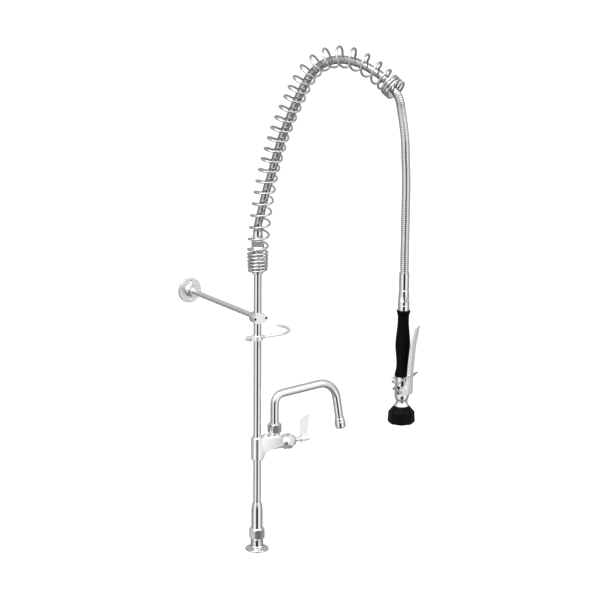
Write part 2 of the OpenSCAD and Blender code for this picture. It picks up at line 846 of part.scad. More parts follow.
module hook_ring() {
    socket_r = hook_rod_d / 2 + 2;
    color(chrome)
        difference() {
            union() {
                turned([[0, hook_z], [hook_ring_d / 2 - 1, hook_z], [hook_ring_d / 2, hook_z + 1],
                    [hook_ring_d / 2, hook_z + hook_h - 1], [hook_ring_d / 2 - 1, hook_z + hook_h],
                    [0, hook_z + hook_h]]);
                for (side = [-1, 1])
                    translate([0, side * (hook_slot + hook_ear_t) / 2, hook_mid])
                        rotate([90, 0, 0])
                            translate([0, 0, -hook_ear_t / 2]) {
                                translate([-hook_ear + hook_h / 2, -hook_h / 2, 0])
                                    cube([hook_ear - hook_h / 2 - pipe_r - 1, hook_h, hook_ear_t]);
                                translate([-hook_ear + hook_h / 2, 0, 0])
                                    cylinder(d = hook_h, h = hook_ear_t);
                            }
                translate([0, 0, hook_mid])
                    along_x()
                        turned([[0, 0], [socket_r, 0], [socket_r, hook_ring_d / 2],
                            [hook_rod_d / 2 + 0.5, hook_ring_d / 2 + 4], [0, hook_ring_d / 2 + 4]]);
            }
            bore(pipe_d + 2 * fit, hook_z - over, hook_h + 2 * over);
            translate([-hook_ear - over, -hook_slot / 2, hook_z - over])
                cube([hook_ear + over, hook_slot, hook_h + 2 * over]);
            translate([-hook_ear + hook_h / 2, 0, hook_mid])
                rotate([90, 0, 0])
                    bore(hook_screw_d + 2 * fit, -hook_ring_d, 2 * hook_ring_d);
            translate([rod_start, 0, hook_mid])
                along_x()
                    bore(hook_rod_d + 2 * fit, 0, hook_ring_d);
        }
}

module hook_screw() {
    head = hook_slot / 2 + hook_ear_t;
    color(satin)
        translate([-hook_ear + hook_h / 2, 0, hook_mid])
            rotate([90, 0, 0])
                difference() {
                    union() {
                        bore(hook_screw_d, -head - 1, 2 * head + 1);
                        bore(hook_screw_d * 1.8, head, 3);
                    }
                    translate([0, 0, head + 1.2])
                        cylinder(d = hook_screw_d * 0.9, h = 3, $fn = 6);
                }
}

module hook_rod() {
    color(chrome)
        translate([0, 0, hook_mid]) {
            translate([rod_start, 0, 0])
                along_x()
                    cylinder(d = hook_rod_d, h = hook_straight - rod_start);
            translate([hook_straight, hook_bend, 0])
                rotate([0, 0, -90]) {
                    rotate_extrude(angle = hook_sweep)
                        translate([hook_bend, 0])
                            circle(d = hook_rod_d);
                    rotate([0, 0, hook_sweep])
                        translate([hook_bend, 0, 0])
                            rotate([-90, 0, 0])
                                turned([[0, -0.2], [hook_rod_d / 2 - 0.1, -0.2], [hook_rod_d / 2 - 0.1, 0.4],
                                    [hook_tip_d / 2 + 0.4, hook_tip - 1], [hook_tip_d / 2 - 0.6, hook_tip],
                                    [0, hook_tip]]);
                }
        }
}

// ---- Wall bracket ----

boss_start = clamp_gap / 2 + clamp_back_t;
arm_start = boss_start - 2;
flange_y = wall_y - wall_flange_t;
sink_depth = 2.6;

// The clamp's rounded front view, standing on z towards +Y
module clamp_plate(t) {
    side = (clamp_w - clamp_h) / 2;
    rotate([-90, 0, 0]) {
        translate([-side, -clamp_h / 2, 0])
            cube([2 * side, clamp_h, t]);
        for (x = [-side, side])
            translate([x, 0, 0])
                cylinder(d = clamp_h, h = t);
    }
}

module clamp_front() {
    color(chrome)
        translate([0, 0, bracket_z])
            difference() {
                translate([0, -clamp_gap / 2 - clamp_front_t, 0])
                    clamp_plate(clamp_front_t);
                bore(pipe_d + 2 * fit, -clamp_h, 2 * clamp_h);
                for (x = [-clamp_pitch, clamp_pitch] / 2)
                    translate([x, -clamp_gap / 2 - clamp_front_t, 0])
                        rotate([-90, 0, 0]) {
                            bore(clamp_screw_d + 2 * fit, -over, clamp_front_t + 2 * over);
                            bore(clamp_head_d + 2 * fit, -over, 3 + over);
                        }
            }
}

module clamp_back() {
    color(satin)
        translate([0, 0, bracket_z])
            difference() {
                union() {
                    intersection() {
                        translate([0, clamp_gap / 2, 0])
                            clamp_plate(clamp_back_t);
                        rotate([-90, 0, 0])
                            turned([[0, 0], [clamp_w / 2, 0], [clamp_w / 2, clamp_back_t * 0.5],
                                [clamp_boss_d / 2 + 0.5, clamp_back_t + clamp_gap], [0, clamp_back_t + clamp_gap]]);
                    }
                    translate([0, boss_start - eps, 0])
                        rotate([-90, 0, 0])
                            turned([[0, 0], [clamp_boss_d / 2, 0], [clamp_boss_d / 2, clamp_boss_h - 2],
                                [clamp_boss_d / 2 - 2, clamp_boss_h], [0, clamp_boss_h]]);
                }
                bore(pipe_d + 2 * fit, -clamp_h, 2 * clamp_h);
                translate([0, arm_start, 0])
                    rotate([-90, 0, 0])
                        bore(bracket_d + 2 * fit, 0, clamp_back_t + clamp_boss_h);
                for (x = [-clamp_pitch, clamp_pitch] / 2)
                    translate([x, clamp_gap / 2, 0])
                        rotate([-90, 0, 0])
                            bore(clamp_screw_d + 2 * fit, -over, 6 + over);
            }
}

module clamp_screws() {
    head = -clamp_gap / 2 - clamp_front_t + 0.4;
    color(satin)
        translate([0, 0, bracket_z])
            for (x = [-clamp_pitch, clamp_pitch] / 2)
                translate([x, head, 0])
                    rotate([-90, 0, 0])
                        difference() {
                            union() {
                                bore(clamp_head_d, 0, 2.6);
                                bore(clamp_screw_d, 0, clamp_front_t + 5);
                            }
                            translate([0, 0, -over])
                                cylinder(d = clamp_head_d * 0.62, h = 1.8 + over, $fn = 6);
                        }
}

module bracket_arm() {
    color(satin)
        translate([0, arm_start, bracket_z])
            rotate([-90, 0, 0])
                cylinder(d = bracket_d, h = wall_y - 2 - arm_start);
}

module wall_flange() {
    r = wall_flange_d / 2;
    t = wall_flange_t;
    hub = t + wall_hub_h;
    lip = 6;
    color(satin)
        translate([0, wall_y, bracket_z])
            rotate([90, 0, 0])
                difference() {
                    turned(concat([[0, 0], [r, 0], [r, t - 1.6]], arc([r - 1.6, t - 1.6], 1.6, 0, 90, 4),
                        [[wall_foot_d / 2 + 1, t], [wall_foot_d / 2 - 1.5, t + 2], [wall_collar_d / 2 - 1, t + 7],
                        [wall_collar_d / 2 - 1.4, hub - lip], [wall_collar_d / 2, hub - lip],
                        [wall_collar_d / 2, hub - 1], [wall_collar_d / 2 - 1, hub], [0, hub]]));
                    bore(bracket_d + 2 * fit, 2, hub);
                    for (side = [-1, 1])
                        translate([0, side * wall_screw_pitch / 2, 0]) {
                            bore(wall_hole_d, -over, t + 2 * over);
                            translate([0, 0, t - sink_depth])
                                cylinder(d1 = wall_hole_d, d2 = wall_sink_d, h = sink_depth + eps);
                        }
                }
}

// ---- Spring ----

curl_rings = 8;
curl_phase = 214.2;
spring_turns = 33.875;
function curl_radius(t) = lookup(t, [[0, curl_end_r], [1, curl_r - 1.1], [5, curl_r]]);
// Point of the wire's centre line after t curls
function wire_at(t) = let (c = route_at(spring_route, t), d = route_dir(spring_route, t),
    a = curl_phase + 360 * t)
    c + curl_radius(t) * (cos(a) * cross([0, 1, 0], d) + sin(a) * [0, 1, 0]);
wire_points = [for (i = [0:spring_turns * curl_rings]) wire_at(i / curl_rings)];
wire_last = len(wire_points) - 1;
// Both ends run on straight for one wire diameter
wire_path = concat([wire_points[0] + wire_d * unit(wire_points[0] - wire_points[1])], wire_points,
    [wire_points[wire_last] + wire_d * unit(wire_points[wire_last] - wire_points[wire_last - 1])]);
function path_dir(p, i) = unit(p[min(i + 1, len(p) - 1)] - p[max(i - 1, 0)]);
// A ring of the wire, turned so that one corner faces the spring's own axis
function wire_ring(i, m) = let (d = path_dir(wire_path, i),
    c = route_at(spring_route, max(0, min(spring_turns, (i - 1) / curl_rings))),
    e = unit(cross(cross(d, c - wire_path[i]), d)), g = cross(d, e))
    [for (j = [0:m - 1]) wire_path[i] + wire_d / 2 * (cos(360 * j / m) * e + sin(360 * j / m) * g)];
// Points and midpoints of the wire, for measuring
wire_probe = [for (i = [0:2 * wire_last]) let (a = wire_points[floor(i / 2)], b = wire_points[ceil(i / 2)])
    (a + b) / 2];
spring_gap = min([for (i = [0:len(wire_probe) - 1 - curl_rings], j = [i + curl_rings:i + 3 * curl_rings])
    if (j < len(wire_probe)) norm(wire_probe[i] - wire_probe[j])]) - wire_d;

module spring() {
    m = 6;
    n = len(wire_path);
    rings = [for (i = [0:n - 1], p = wire_ring(i, m)) p];
    color(chrome)
        arch_frame()
            polyhedron(rings, concat(wall_faces(n, m), cap_faces(m, 0), flipped(cap_faces(m, (n - 1) * m))));
}

seat_low = spring_route[0][2] - wire_d / 2 - 1;
seat_high = -8;
seat_inner = neck_d + 0.4;

module spring_seat() {
    low_r = (curl_end_r - 0.5) * cos(180 / curl_rings) - wire_d / 2;
    r = (curl_r - 1.4) * cos(180 / curl_rings) - wire_d / 2 - 0.2;
    step = spring_route[1][2] - 2;
    color(chrome)
        arch_frame()
            difference() {
                turned([[0, seat_low - seat_collar_h + 2], [seat_collar_d / 2 - 1, seat_low - seat_collar_h + 2],
                    [seat_collar_d / 2, seat_low - seat_collar_h + 3], [seat_collar_d / 2, seat_low + 2],
                    [low_r, seat_low + 2], [low_r, step], [r, step + 1], [r, seat_high - 1],
                    [r - 1, seat_high], [0, seat_high]]);
                bore(pipe_d + 2 * fit, seat_low - seat_collar_h, seat_high - seat_low + 2 * seat_collar_h);
                bore(seat_inner, -neck_over - 1, seat_high + neck_over + 2);
            }
}

// ---- Riser top and hose ----

stub_d = 18;
stub_h = 7.5;
stub_bore = 9;
nut_low = coupling_up + 0.2;
nut_high = nut_low + hose_nut_h;
washer_t = 1.2;
tail_d = 14;
ferrule_low = nut_high + 4.3;
ferrule_high = hose_start[2] + hose_socket;

module riser_coupling() {
    neck = neck_d / 2;
    r = coupling_d / 2;
    collar = 9;
    color(chrome)
        arch_frame()
            difference() {
                turned([[0, -neck_over], [neck, -neck_over], [neck, collar - 1], [r - 2.4, collar],
                    [r, collar + 2.4], [r, coupling_up - 3], [r - 2, coupling_up], [stub_d / 2, coupling_up],
                    [stub_d / 2, coupling_up + stub_h], [0, coupling_up + stub_h]]);
                bore(pipe_d + 2 * fit, -neck_over - over, neck_over + over);
                bore(stub_bore, -over, coupling_up + stub_h + 2 * over);
            }
}

module hose_nut() {
    chamfer = 1.2;
    color(chrome)
        arch_frame()
            difference() {
                nut(hose_nut_d, 6, nut_low, hose_nut_h, chamfer);
                bore(stub_d + 2 * fit, nut_low - over, hose_nut_h - 1.6 + over);
                bore(tail_d + 2 * fit, nut_low, hose_nut_h + over);
            }
}

module hose_washer() {
    color(black)
        arch_frame()
            ring(tail_d, stub_bore, coupling_up + stub_h, washer_t);
}

module lower_ferrule() {
    foot = lower_ferrule_d / 2;
    top = foot - 0.9;
    tail_low = coupling_up + stub_h + washer_t;
    color(chrome)
        arch_frame()
            difference() {
                turned([[0, tail_low], [tail_d / 2, tail_low], [tail_d / 2, ferrule_low], [foot, ferrule_low],
                    [top, ferrule_high - 2], [top + 0.5, ferrule_high - 1.6], [top + 0.5, ferrule_high],
                    [0, ferrule_high]]);
                bore(stub_bore, tail_low - over, ferrule_high);
                bore(hose_d + 0.2, hose_start[2] - 0.1, hose_socket + over);
            }
}

// ---- Ribbed hose ----

hose_sides = 8;
hose_ribs = 130;
hose_lengths = route_lengths(hose_route);
hose_length = hose_lengths[len(hose_lengths) - 1][0];
rib_pitch = hose_length / hose_ribs;
bore_step = 2;
// Where the hose leaves the spring, and where its hanging length starts, in ribs
arch_ribs = 85;
bend_ribs = 103;
length_to_t = [for (p = hose_lengths) [p[0], p[1]]];
function hose_t(s) = lookup(s, length_to_t);
function hose_ring(s, r) = ring_points(route_at(hose_route, hose_t(s)), route_dir(hose_route, hose_t(s)),
    r, hose_sides);

// A stretch of hose from rib number a to rib number b
module hose_stretch(a, b) {
    m = hose_sides;
    s0 = a * rib_pitch + (a > 0 ? 0.1 : 0);
    s1 = b * rib_pitch - (b < hose_ribs ? 0.1 : 0);
    crest = hose_d / 2;
    root = crest - rib_depth;
    marks = concat([[s0, crest]],
        [for (i = [a:b - 1], k = [0, 1]) k == 0 ? [i * rib_pitch + 0.62 * rib_pitch, crest]
            : [i * rib_pitch + 0.9 * rib_pitch, root]], [[s1, crest]]);
    holes = concat([s0], [for (i = [a + bore_step:bore_step:b - 1]) i * rib_pitch], [s1]);
    outer = [for (k = marks, p = hose_ring(k[0], k[1])) p];
    inner = [for (s = holes, p = hose_ring(s, hose_bore / 2)) p];
    n = len(marks);
    q = len(holes);
    shift = n * m;
    ends = [for (j = [0:m - 1]) each let (k = (j + 1) % m, o = (n - 1) * m, w = shift + (q - 1) * m)
        [[j, shift + j, shift + k], [j, shift + k, k], [o + j, w + k, w + j], [o + j, o + k, w + k]]];
    arch_frame()
        polyhedron(concat(outer, inner),
            concat(wall_faces(n, m), flipped(wall_faces(q, m, shift)), ends));
}

module hose_arch() {
    color(satin)
        hose_stretch(0, arch_ribs);
}

module hose_bend() {
    color(satin)
        hose_stretch(arch_ribs, bend_ribs);
}

module hose_drop() {
    color(satin)
        hose_stretch(bend_ribs, hose_ribs);
}

// Least distance between the hose's skin and the spring's wire
hose_gap = min([for (i = [0:4:arch_ribs * 4 - 1]) let (p = route_at(hose_route, hose_t(i / 4 * rib_pitch)))
    min([for (w = wire_probe) norm(w - p)])]) - hose_d / 2 - wire_d / 2;
echo(spring_gap = spring_gap, hose_gap = hose_gap, hose_length = hose_length, rib_pitch = rib_pitch);

// ---- Spray valve: its axis hangs below the hose's end; z = 0 at the grip's lower end ----

ferrule_top = hose_end[2] + hose_socket;
adapter_top = ferrule_top - ferrule_h - swivel_gap;
ring_top = adapter_top - adapter_h;
grip_top = ring_top - ring_h;
valve_zero = grip_top - grip_h;

module valve_frame() {
    arch_frame()
        translate([hose_end[0], hose_end[1], valve_zero])
            children();
}

function up(z) = z - valve_zero;
spigot_d = 12;
spigot_h = 13;
water_d = 9;
swivel_seal_t = 1.4;

module upper_ferrule() {
    r = ferrule_d / 2;
    z = up(ferrule_top - ferrule_h);
    top = up(ferrule_top);
    color(chrome)
        valve_frame()
            difference() {
                turned([[0, z - swivel_gap - spigot_h], [spigot_d / 2, z - swivel_gap - spigot_h],
                    [spigot_d / 2, z], [r - 0.6, z], [r, z + 0.6], [r, top - 3], [r + 0.2, top - 2.6],
                    [r + 0.2, top - 0.4], [r - 0.4, top], [0, top]]);
                bore(water_d - 1, z - swivel_gap - spigot_h - over, ferrule_h + spigot_h);
                bore(hose_d + 0.2, top - hose_socket - 0.1, hose_socket + over);
            }
}

module swivel_seal() {
    color(black)
        valve_frame()
            ring(spigot_d, water_d - 1, up(adapter_top) - spigot_h - free_gap - swivel_seal_t, swivel_seal_t);
}

module swivel_adapter() {
    r = ferrule_d / 2;
    foot = adapter_d / 2;
    top = up(adapter_top);
    low = up(ring_top);
    flats = 6;
    across = 2 * r + 0.8;
    color(chrome)
        valve_frame()
            difference() {
                intersection() {
                    turned([[0, low], [foot, low], [foot, low + 2], [r, top - 1], [r - 0.5, top], [0, top]]);
                    union() {
                        translate([0, 0, low + 4])
                            rotate([0, 0, 15])
                                cylinder(d = across / cos(180 / flats), h = adapter_h, $fn = flats);
                        translate([0, 0, low - over])
                            cylinder(r1 = foot + 8, r2 = foot - 1, h = 8);
                    }
                }
                bore(water_d, low - over, adapter_h + 2 * over);
                bore(spigot_d + 2 * run_fit, top - spigot_h - free_gap - swivel_seal_t,
                    spigot_h + free_gap + swivel_seal_t + over);
            }
}

module adapter_ring() {
    r = adapter_d / 2;
    z = up(grip_top);
    color(chrome)
        valve_frame()
            difference() {
                turned([[0, z], [r, z], [r, z + ring_h - 1], [r - 0.7, z + ring_h], [0, z + ring_h]]);
                bore(water_d, z - over, ring_h + 2 * over);
                bore(grip_bore - 2 * free_gap + 2 * fit, z - over, ring_h - 3 + over);
            }
}

tube_d = grip_bore - 2 * free_gap;
tube_in = 6;

module grip_tube() {
    color(chrome)
        valve_frame()
            ring(tube_d, water_d, -tube_in, grip_h + tube_in + ring_h - 3.1);
}

// Outline of the grip as [radius, height above its lower end], for a grip of the stated length
grip_knots = [[15.4, 0], [15.9, 1.4], [15.2, 5], [13.4, 13], [12.3, 24], [12.9, 36], [14.6, 52], [15.2, 64],
    [14.6, 78], [13.2, 92], [12, 104], [11.5, 114], [11.6, 123], [12.6, 129.5], [13.7, 133], [13.9, 135.5],
    [13.3, 137.3]];
grip_scale = grip_h / grip_knots[len(grip_knots) - 1][1];
grip_curve = [for (i = [0:(len(grip_knots) - 1) * 6]) let (p = route_at(grip_knots, i / 6))
    [p[1] * grip_scale, p[0]]];
function grip_r(z) = lookup(z, grip_curve);

module grip() {
    low = 8;
    ribs = floor((grip_h - 18) / grip_pitch);
    color(black)
        valve_frame()
            difference() {
                turned(concat([[0, 0], [grip_r(0), 0], [grip_r(1.4), 1.4], [grip_r(5), 5]],
                    [for (i = [0:ribs - 1], k = [0, 0.64, 0.82]) let (z = low + (i + k) * grip_pitch)
                        [grip_r(z) - (k == 0.82 ? grip_rib : 0), z]],
                    [for (z = [grip_h - 8, grip_h - 5.5, grip_h - 3.6, grip_h - 1.8, grip_h]) [grip_r(z), z]],
                    [[0, grip_h]]));
                bore(grip_bore, -over, grip_h + 2 * over);
            }
}

// ---- Valve body ----

body_r = body_d / 2;
neck_z = -body_h;
head_z = neck_z - waist_h;
head_r = head_d / 2;
bumper_top = head_z + 1.5;
bumper_low = bumper_top - bumper_h;
face_z = bumper_low + 3.5;
cup_step = 8;
stem_z = -stem_drop;
guide_x = 2;
chamber_r = 5.5;
way_x = 6.2;
way_d = 5;
boss_d = 7;
face_screw_d = 3.3;
pivot_deep = 7;

module body_axis() {
    translate([0, 0, stem_z])
        along_x()
            children();
}

module valve_body() {
    waist = waist_d / 2;
    ear_in = ear_w / 2 - lever_t - free_gap;
    pocket_top = pivot_drop - ear_r - 6;
    pocket_low = pivot_drop + ear_r + 3.5;
    cup_r = head_r - 2;
    cup_z = face_z + 12;
    outline = concat([[0, 0], [body_r - 0.6, 0], [body_r, -0.6], [body_r, neck_z + 1]],
        [for (i = [0:8]) [waist + (body_r - 1 - waist) * pow(cos(90 * i / 8), 2), neck_z - waist_h / 2 * i / 8]],
        [for (i = [1:8]) [waist + (body_r + 0.4 - waist) * pow(sin(90 * i / 8), 2),
            neck_z - waist_h / 2 * (1 + i / 8)]],
        [[body_r - 0.5, head_z - cup_step], [head_r, head_z - cup_step - 9], [head_r, face_z], [0, face_z]]);
    color(chrome)
        valve_frame()
            difference() {
                union() {
                    turned(outline);
                    body_axis()
                        bore(back_cap_d + 1, -body_r - 0.2, body_r);
                }
                bore(tube_d + 2 * fit, -tube_in, tube_in + over);
                translate([-5, 0, 0])
                    bore(water_d - 1, stem_z - 2, stem_drop + 2);
                translate([way_x, 0, 0])
                    bore(way_d, cup_z - 1, stem_z - cup_z + 1);
                body_axis() {
                    bore(2 * chamber_r, -body_r - over, body_r + over + guide_x);
                    bore(stem_d + 2, guide_x - over, way_x - guide_x + over);
                    bore(stem_d + 2 * run_fit, 0, body_r + over);
                }
                difference() {
                    bore(2 * cup_r, face_z - over, cup_z - face_z + over);
                    bore(boss_d, face_z + face_t + fit, cup_z - face_z);
                }
                bore(face_screw_d + 2 * fit, face_z, 11);
                for (side = [-1, 1])
                    translate([-1.6, side > 0 ? ear_in : -ear_in - body_r, -pocket_low])
                        cube([2 * body_r, body_r, pocket_low - pocket_top]);
                for (side = [-1, 1])
                    translate([pivot_x, side * (ear_w / 2 - pivot_deep), -pivot_drop])
                        rotate([-side * 90, 0, 0])
                            bore(pivot_d + 2 * fit, 0, body_d);
            }
}

module back_cap() {
    r = back_cap_d / 2;
    color(chrome)
        valve_frame()
            translate([0, 0, stem_z])
                rotate([0, -90, 0])
                    difference() {
                        union() {
                            bore(2 * chamber_r - 2 * fit, body_r - 5, 6);
                            turned([[0, body_r + 0.2], [r - 0.6, body_r + 0.2], [r, body_r + 0.8],
                                [r, back_cap_reach - 1.6], [r - 1.6, back_cap_reach], [0, back_cap_reach]]);
                        }
                        translate([0, 0, back_cap_reach - 4])
                            cylinder(d = 6.6, h = 4 + over, $fn = 6);
                        bore(2 * chamber_r - 2.6, body_r - 5 - over, 4);
                    }
}

module valve_spring() {
    color(satin)
        valve_frame()
            translate([0, 0, stem_z])
                rotate([0, -90, 0])
                    ring(2 * chamber_r - 2.9, 5, 5.6, body_r - 2.3 - 5.6);
}

// Outer face of the lever at height z, as a distance from the valve's axis
lever_line = [[-36, 20.6], [-12, 22.3], [18, 24], [40, 25.9], [63, 28.2], [85, 32], [104, 36.6], [112, 39]];
function lever_x(z) = lookup(z, lever_line);
stem_tip = lever_x(stem_z) - lever_t - 0.35;

module valve_stem() {
    r = stem_d / 2;
    color(satin)
        valve_frame()
            body_axis()
                turned([[0, -1], [1.4, -1], [1.4, guide_x - 1.6], [r, guide_x - 1.6], [r, stem_tip - 1],
                    [r - 1, stem_tip], [0, stem_tip]]);
}

module valve_disc() {
    color(black)
        valve_frame()
            body_axis()
                ring(2 * chamber_r - 2 * free_gap, 2.8 + 2 * fit, -2.4, 2.4 + guide_x - 1.8);
}

// ---- Lever, its pin and the hold-down ring ----

module lever_screws() {
    head_t = 1.9;
    color(satin)
        valve_frame()
            for (side = [-1, 1])
                translate([pivot_x, side * (ear_w / 2 - pivot_deep), -pivot_drop])
                    rotate([-side * 90, 0, 0])
                        difference() {
                            union() {
                                bore(pivot_d, 0, pivot_deep + free_gap + eps);
                                bore(pivot_head_d, pivot_deep + free_gap, head_t);
                            }
                            translate([0, 0, pivot_deep + free_gap + head_t - 1])
                                cylinder(d = pivot_d * 0.75, h = 2, $fn = 6);
                        }
}

// The lever's sections from foot to tip: [height, width, depth]
lever_sections = [[-36, 21.4, 5], [-34.5, 22.4, 8], [-26, 23.2, 9], [-14, 21, 8], [-2, 18.6, 6],
    [10, 17.6, 5.4], [25, 17.5, 5.4], [45, 17.5, 5.2], [63, 17.4, 5], [80, 17, 4.8], [94, 16.2, 4.4],
    [103, 14.8, 4], [108.5, 12, 3], [111, 8, 2.2]];
lever_corner = 3;

// Points of one U-shaped section: the outside from side to side, then the inside back again
function lever_section(s) = let (z = s[0], w = s[1] / 2, d = s[2], x = lever_x(z), t = lever_t,
    rc = min(lever_corner, d - 0.4), n = 4,
    outside = concat([[-w, d]], [for (i = [0:n]) [-w + rc - rc * cos(90 * i / n), rc - rc * sin(90 * i / n)]],
        [for (i = [0:n]) [w - rc + rc * sin(90 * i / n), rc - rc * cos(90 * i / n)]], [[w, d]]),
    k = w - t, ri = max(0.3, rc - t),
    inside = concat([[k, d]], [for (i = [0:n]) [k - ri + ri * cos(90 * i / n), t + ri - ri * sin(90 * i / n)]],
        [for (i = [0:n]) [-k + ri - ri * sin(90 * i / n), t + ri - ri * cos(90 * i / n)]], [[-k, d]]))
    [for (p = concat(outside, inside)) [x - p[1], p[0], z]];

module lever_channel() {
    n = len(lever_sections);
    m = len(lever_section(lever_sections[0]));
    half = m / 2;
    points = [for (s = lever_sections, p = lever_section(s)) p];
    foot = [for (j = [0:half - 2], k = [0, 1]) k == 0 ? [j, m - 1 - j, m - 2 - j] : [j, m - 2 - j, j + 1]];
    tip = [for (f = foot) [f[2], f[1], f[0]] + (n - 1) * m * [1, 1, 1]];
    polyhedron(points, concat(flipped(wall_faces(n, m)), foot, tip));
}

module lever_ear(side) {
    y0 = side > 0 ? ear_w / 2 - lever_t : -ear_w / 2;
    translate([0, y0 + lever_t, 0])
        rotate([90, 0, 0])
            linear_extrude(lever_t)
                difference() {
                    union() {
                        translate([pivot_x, -pivot_drop])
                            circle(r = ear_r);
                        polygon([[pivot_x, -pivot_drop - ear_r], [18.5, -35.5], [19.5, -24], [14.5, -17],
                            [pivot_x + 3, -pivot_drop + ear_r - 0.8]]);
                    }
                    translate([pivot_x, -pivot_drop])
                        circle(d = pivot_d + 2 * run_fit);
                }
}

lug_d = 3.6;
lug = [24.6, 6.45];
bail_front = lug + [4, 3.45];
bail_back = [-17.3, -31.3];

module lever() {
    color(chrome)
        valve_frame() {
            lever_channel();
            for (side = [-1, 1])
                lever_ear(side);
            translate([lug[0], 0, lug[1]])
                rotate([90, 0, 0])
                    bore(lug_d, -6, 12);
        }
}

module bail() {
    slope = bail_front - bail_back;
    len_s = norm(slope);
    tilt = atan2(slope[1], slope[0]);
    front_r = 6;
    back_r = bail_half - 0.8;
    w = bail_half;
    color(chrome)
        valve_frame()
            translate([bail_back[0], 0, bail_back[1]])
                rotate([0, -tilt, 0]) {
                    for (side = [-1, 1]) {
                        translate([back_r, side * w, 0])
                            along_x()
                                cylinder(d = bail_wire, h = len_s - back_r - front_r);
                        translate([len_s - front_r, side * (w - front_r), 0])
                            rotate([0, 0, side > 0 ? 0 : -90])
                                rotate_extrude(angle = 90)
                                    translate([front_r, 0])
                                        circle(d = bail_wire);
                        translate([back_r, side * (w - back_r), 0])
                            rotate([0, 0, side > 0 ? 90 : 180])
                                rotate_extrude(angle = 90)
                                    translate([back_r, 0])
                                        circle(d = bail_wire);
                    }
                    translate([len_s, 0, 0])
                        rotate([90, 0, 0])
                            bore(bail_wire, -(w - front_r), 2 * (w - front_r));
                    rotate([90, 0, 0])
                        bore(bail_wire, -(w - back_r), 2 * (w - back_r));
                }
}

// ---- Spray head ----

module bumper() {
    corner = 7;
    shoulder = bumper_top - 13;
    ring_r = bumper_d / 2 - corner;
    turn = -55.4;
    color(black)
        valve_frame()
            difference() {
                hull() {
                    translate([0, 0, bumper_top - 1])
                        cylinder(d = body_d + 1, h = 1, $fn = 32);
                    for (i = [0:7])
                        rotate([0, 0, turn + 45 * i])
                            translate([ring_r, 0, 0]) {
                                translate([0, 0, shoulder - 1])
                                    cylinder(r = corner - 1.3, h = 1, $fn = 16);
                                translate([0, 0, bumper_low + 3])
                                    cylinder(r = corner, h = 1, $fn = 16);
                                translate([0, 0, bumper_low])
                                    cylinder(r = corner - 1.6, h = 1, $fn = 16);
                            }
                }
                turned([[0, head_z + over], [body_r + 0.7, head_z + over], [body_r + 0.7, head_z],
                    [body_r - 0.2, head_z - cup_step], [head_r + 0.3, head_z - cup_step - 9],
                    [head_r + 0.3, face_z - 0.2], [head_r - 1.4, face_z - 0.4], [head_r - 1.4, bumper_low - over],
                    [0, bumper_low - over]]);
                bore(2 * body_r + 1.4, head_z - 0.1, bumper_top - head_z + over);
            }
}

module spray_face() {
    r = head_r - 2 - fit;
    hole = 2;
    rows = [[7, 6], [11.5, 12], [16, 18]];
    color(satin)
        valve_frame()
            difference() {
                bore(2 * r, face_z, face_t);
                bore(face_screw_d + 2 * fit, face_z - over, face_t + 2 * over);
                for (row = rows)
                    for (i = [0:row[1] - 1])
                        rotate([0, 0, 360 * i / row[1]])
                            translate([row[0], 0, face_z - over])
                                cylinder(d = hole, h = face_t + 2 * over, $fn = 16);
            }
}

module face_screw() {
    color(satin)
        valve_frame()
            difference() {
                union() {
                    bore(face_screw_d, face_z - eps, 10);
                    turned([[0, face_z - 2.4], [2.6, face_z - 2.4], [3.8, face_z - 1.2], [3.8, face_z], [0, face_z]]);
                }
                translate([-4, -0.5, face_z - 2.4 - over])
                    cube([8, 1, 1 + over]);
            }
}

base_gasket();
base_flange();
union_washer();
union_nut();
swivel_sleeve();
lower_pipe();
addon_body();
arm_plug();
riser_pipe();
clamp_front();
clamp_back();
clamp_screws();
bracket_arm();
wall_flange();
hook_ring();
hook_rod();
hook_screw();
spring_seat();
spring();
riser_coupling();
hose_nut();
hose_washer();
lower_ferrule();
hose_arch();
hose_bend();
hose_drop();
upper_ferrule();
swivel_seal();
swivel_adapter();
adapter_ring();
grip_tube();
grip();
valve_body();
back_cap();
valve_spring();
valve_stem();
valve_disc();
lever_screws();
lever();
bail();
bumper();
spray_face();
face_screw();
spout_nut();
spout_seal();
spout_tube();
spout_end();
outlet_screen();
bonnet();
stem_packing();
spindle();
seat_disc();
handle();
handle_screw();
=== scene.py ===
"""Looks of the pre-rinse faucet: camera, hose, spring, metals, rubber and studio.

Metres throughout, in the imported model's frame: +Z up, deck at z = 0, the riser on the Z axis, the
wall towards +Y and the swinging spout towards +X. The arch with its hose and spray valve leans out
in the upright plane at ARCH_TURN.
"""

import json
import math

import bmesh
import bpy
import numpy as np
from mathutils import Matrix, Vector


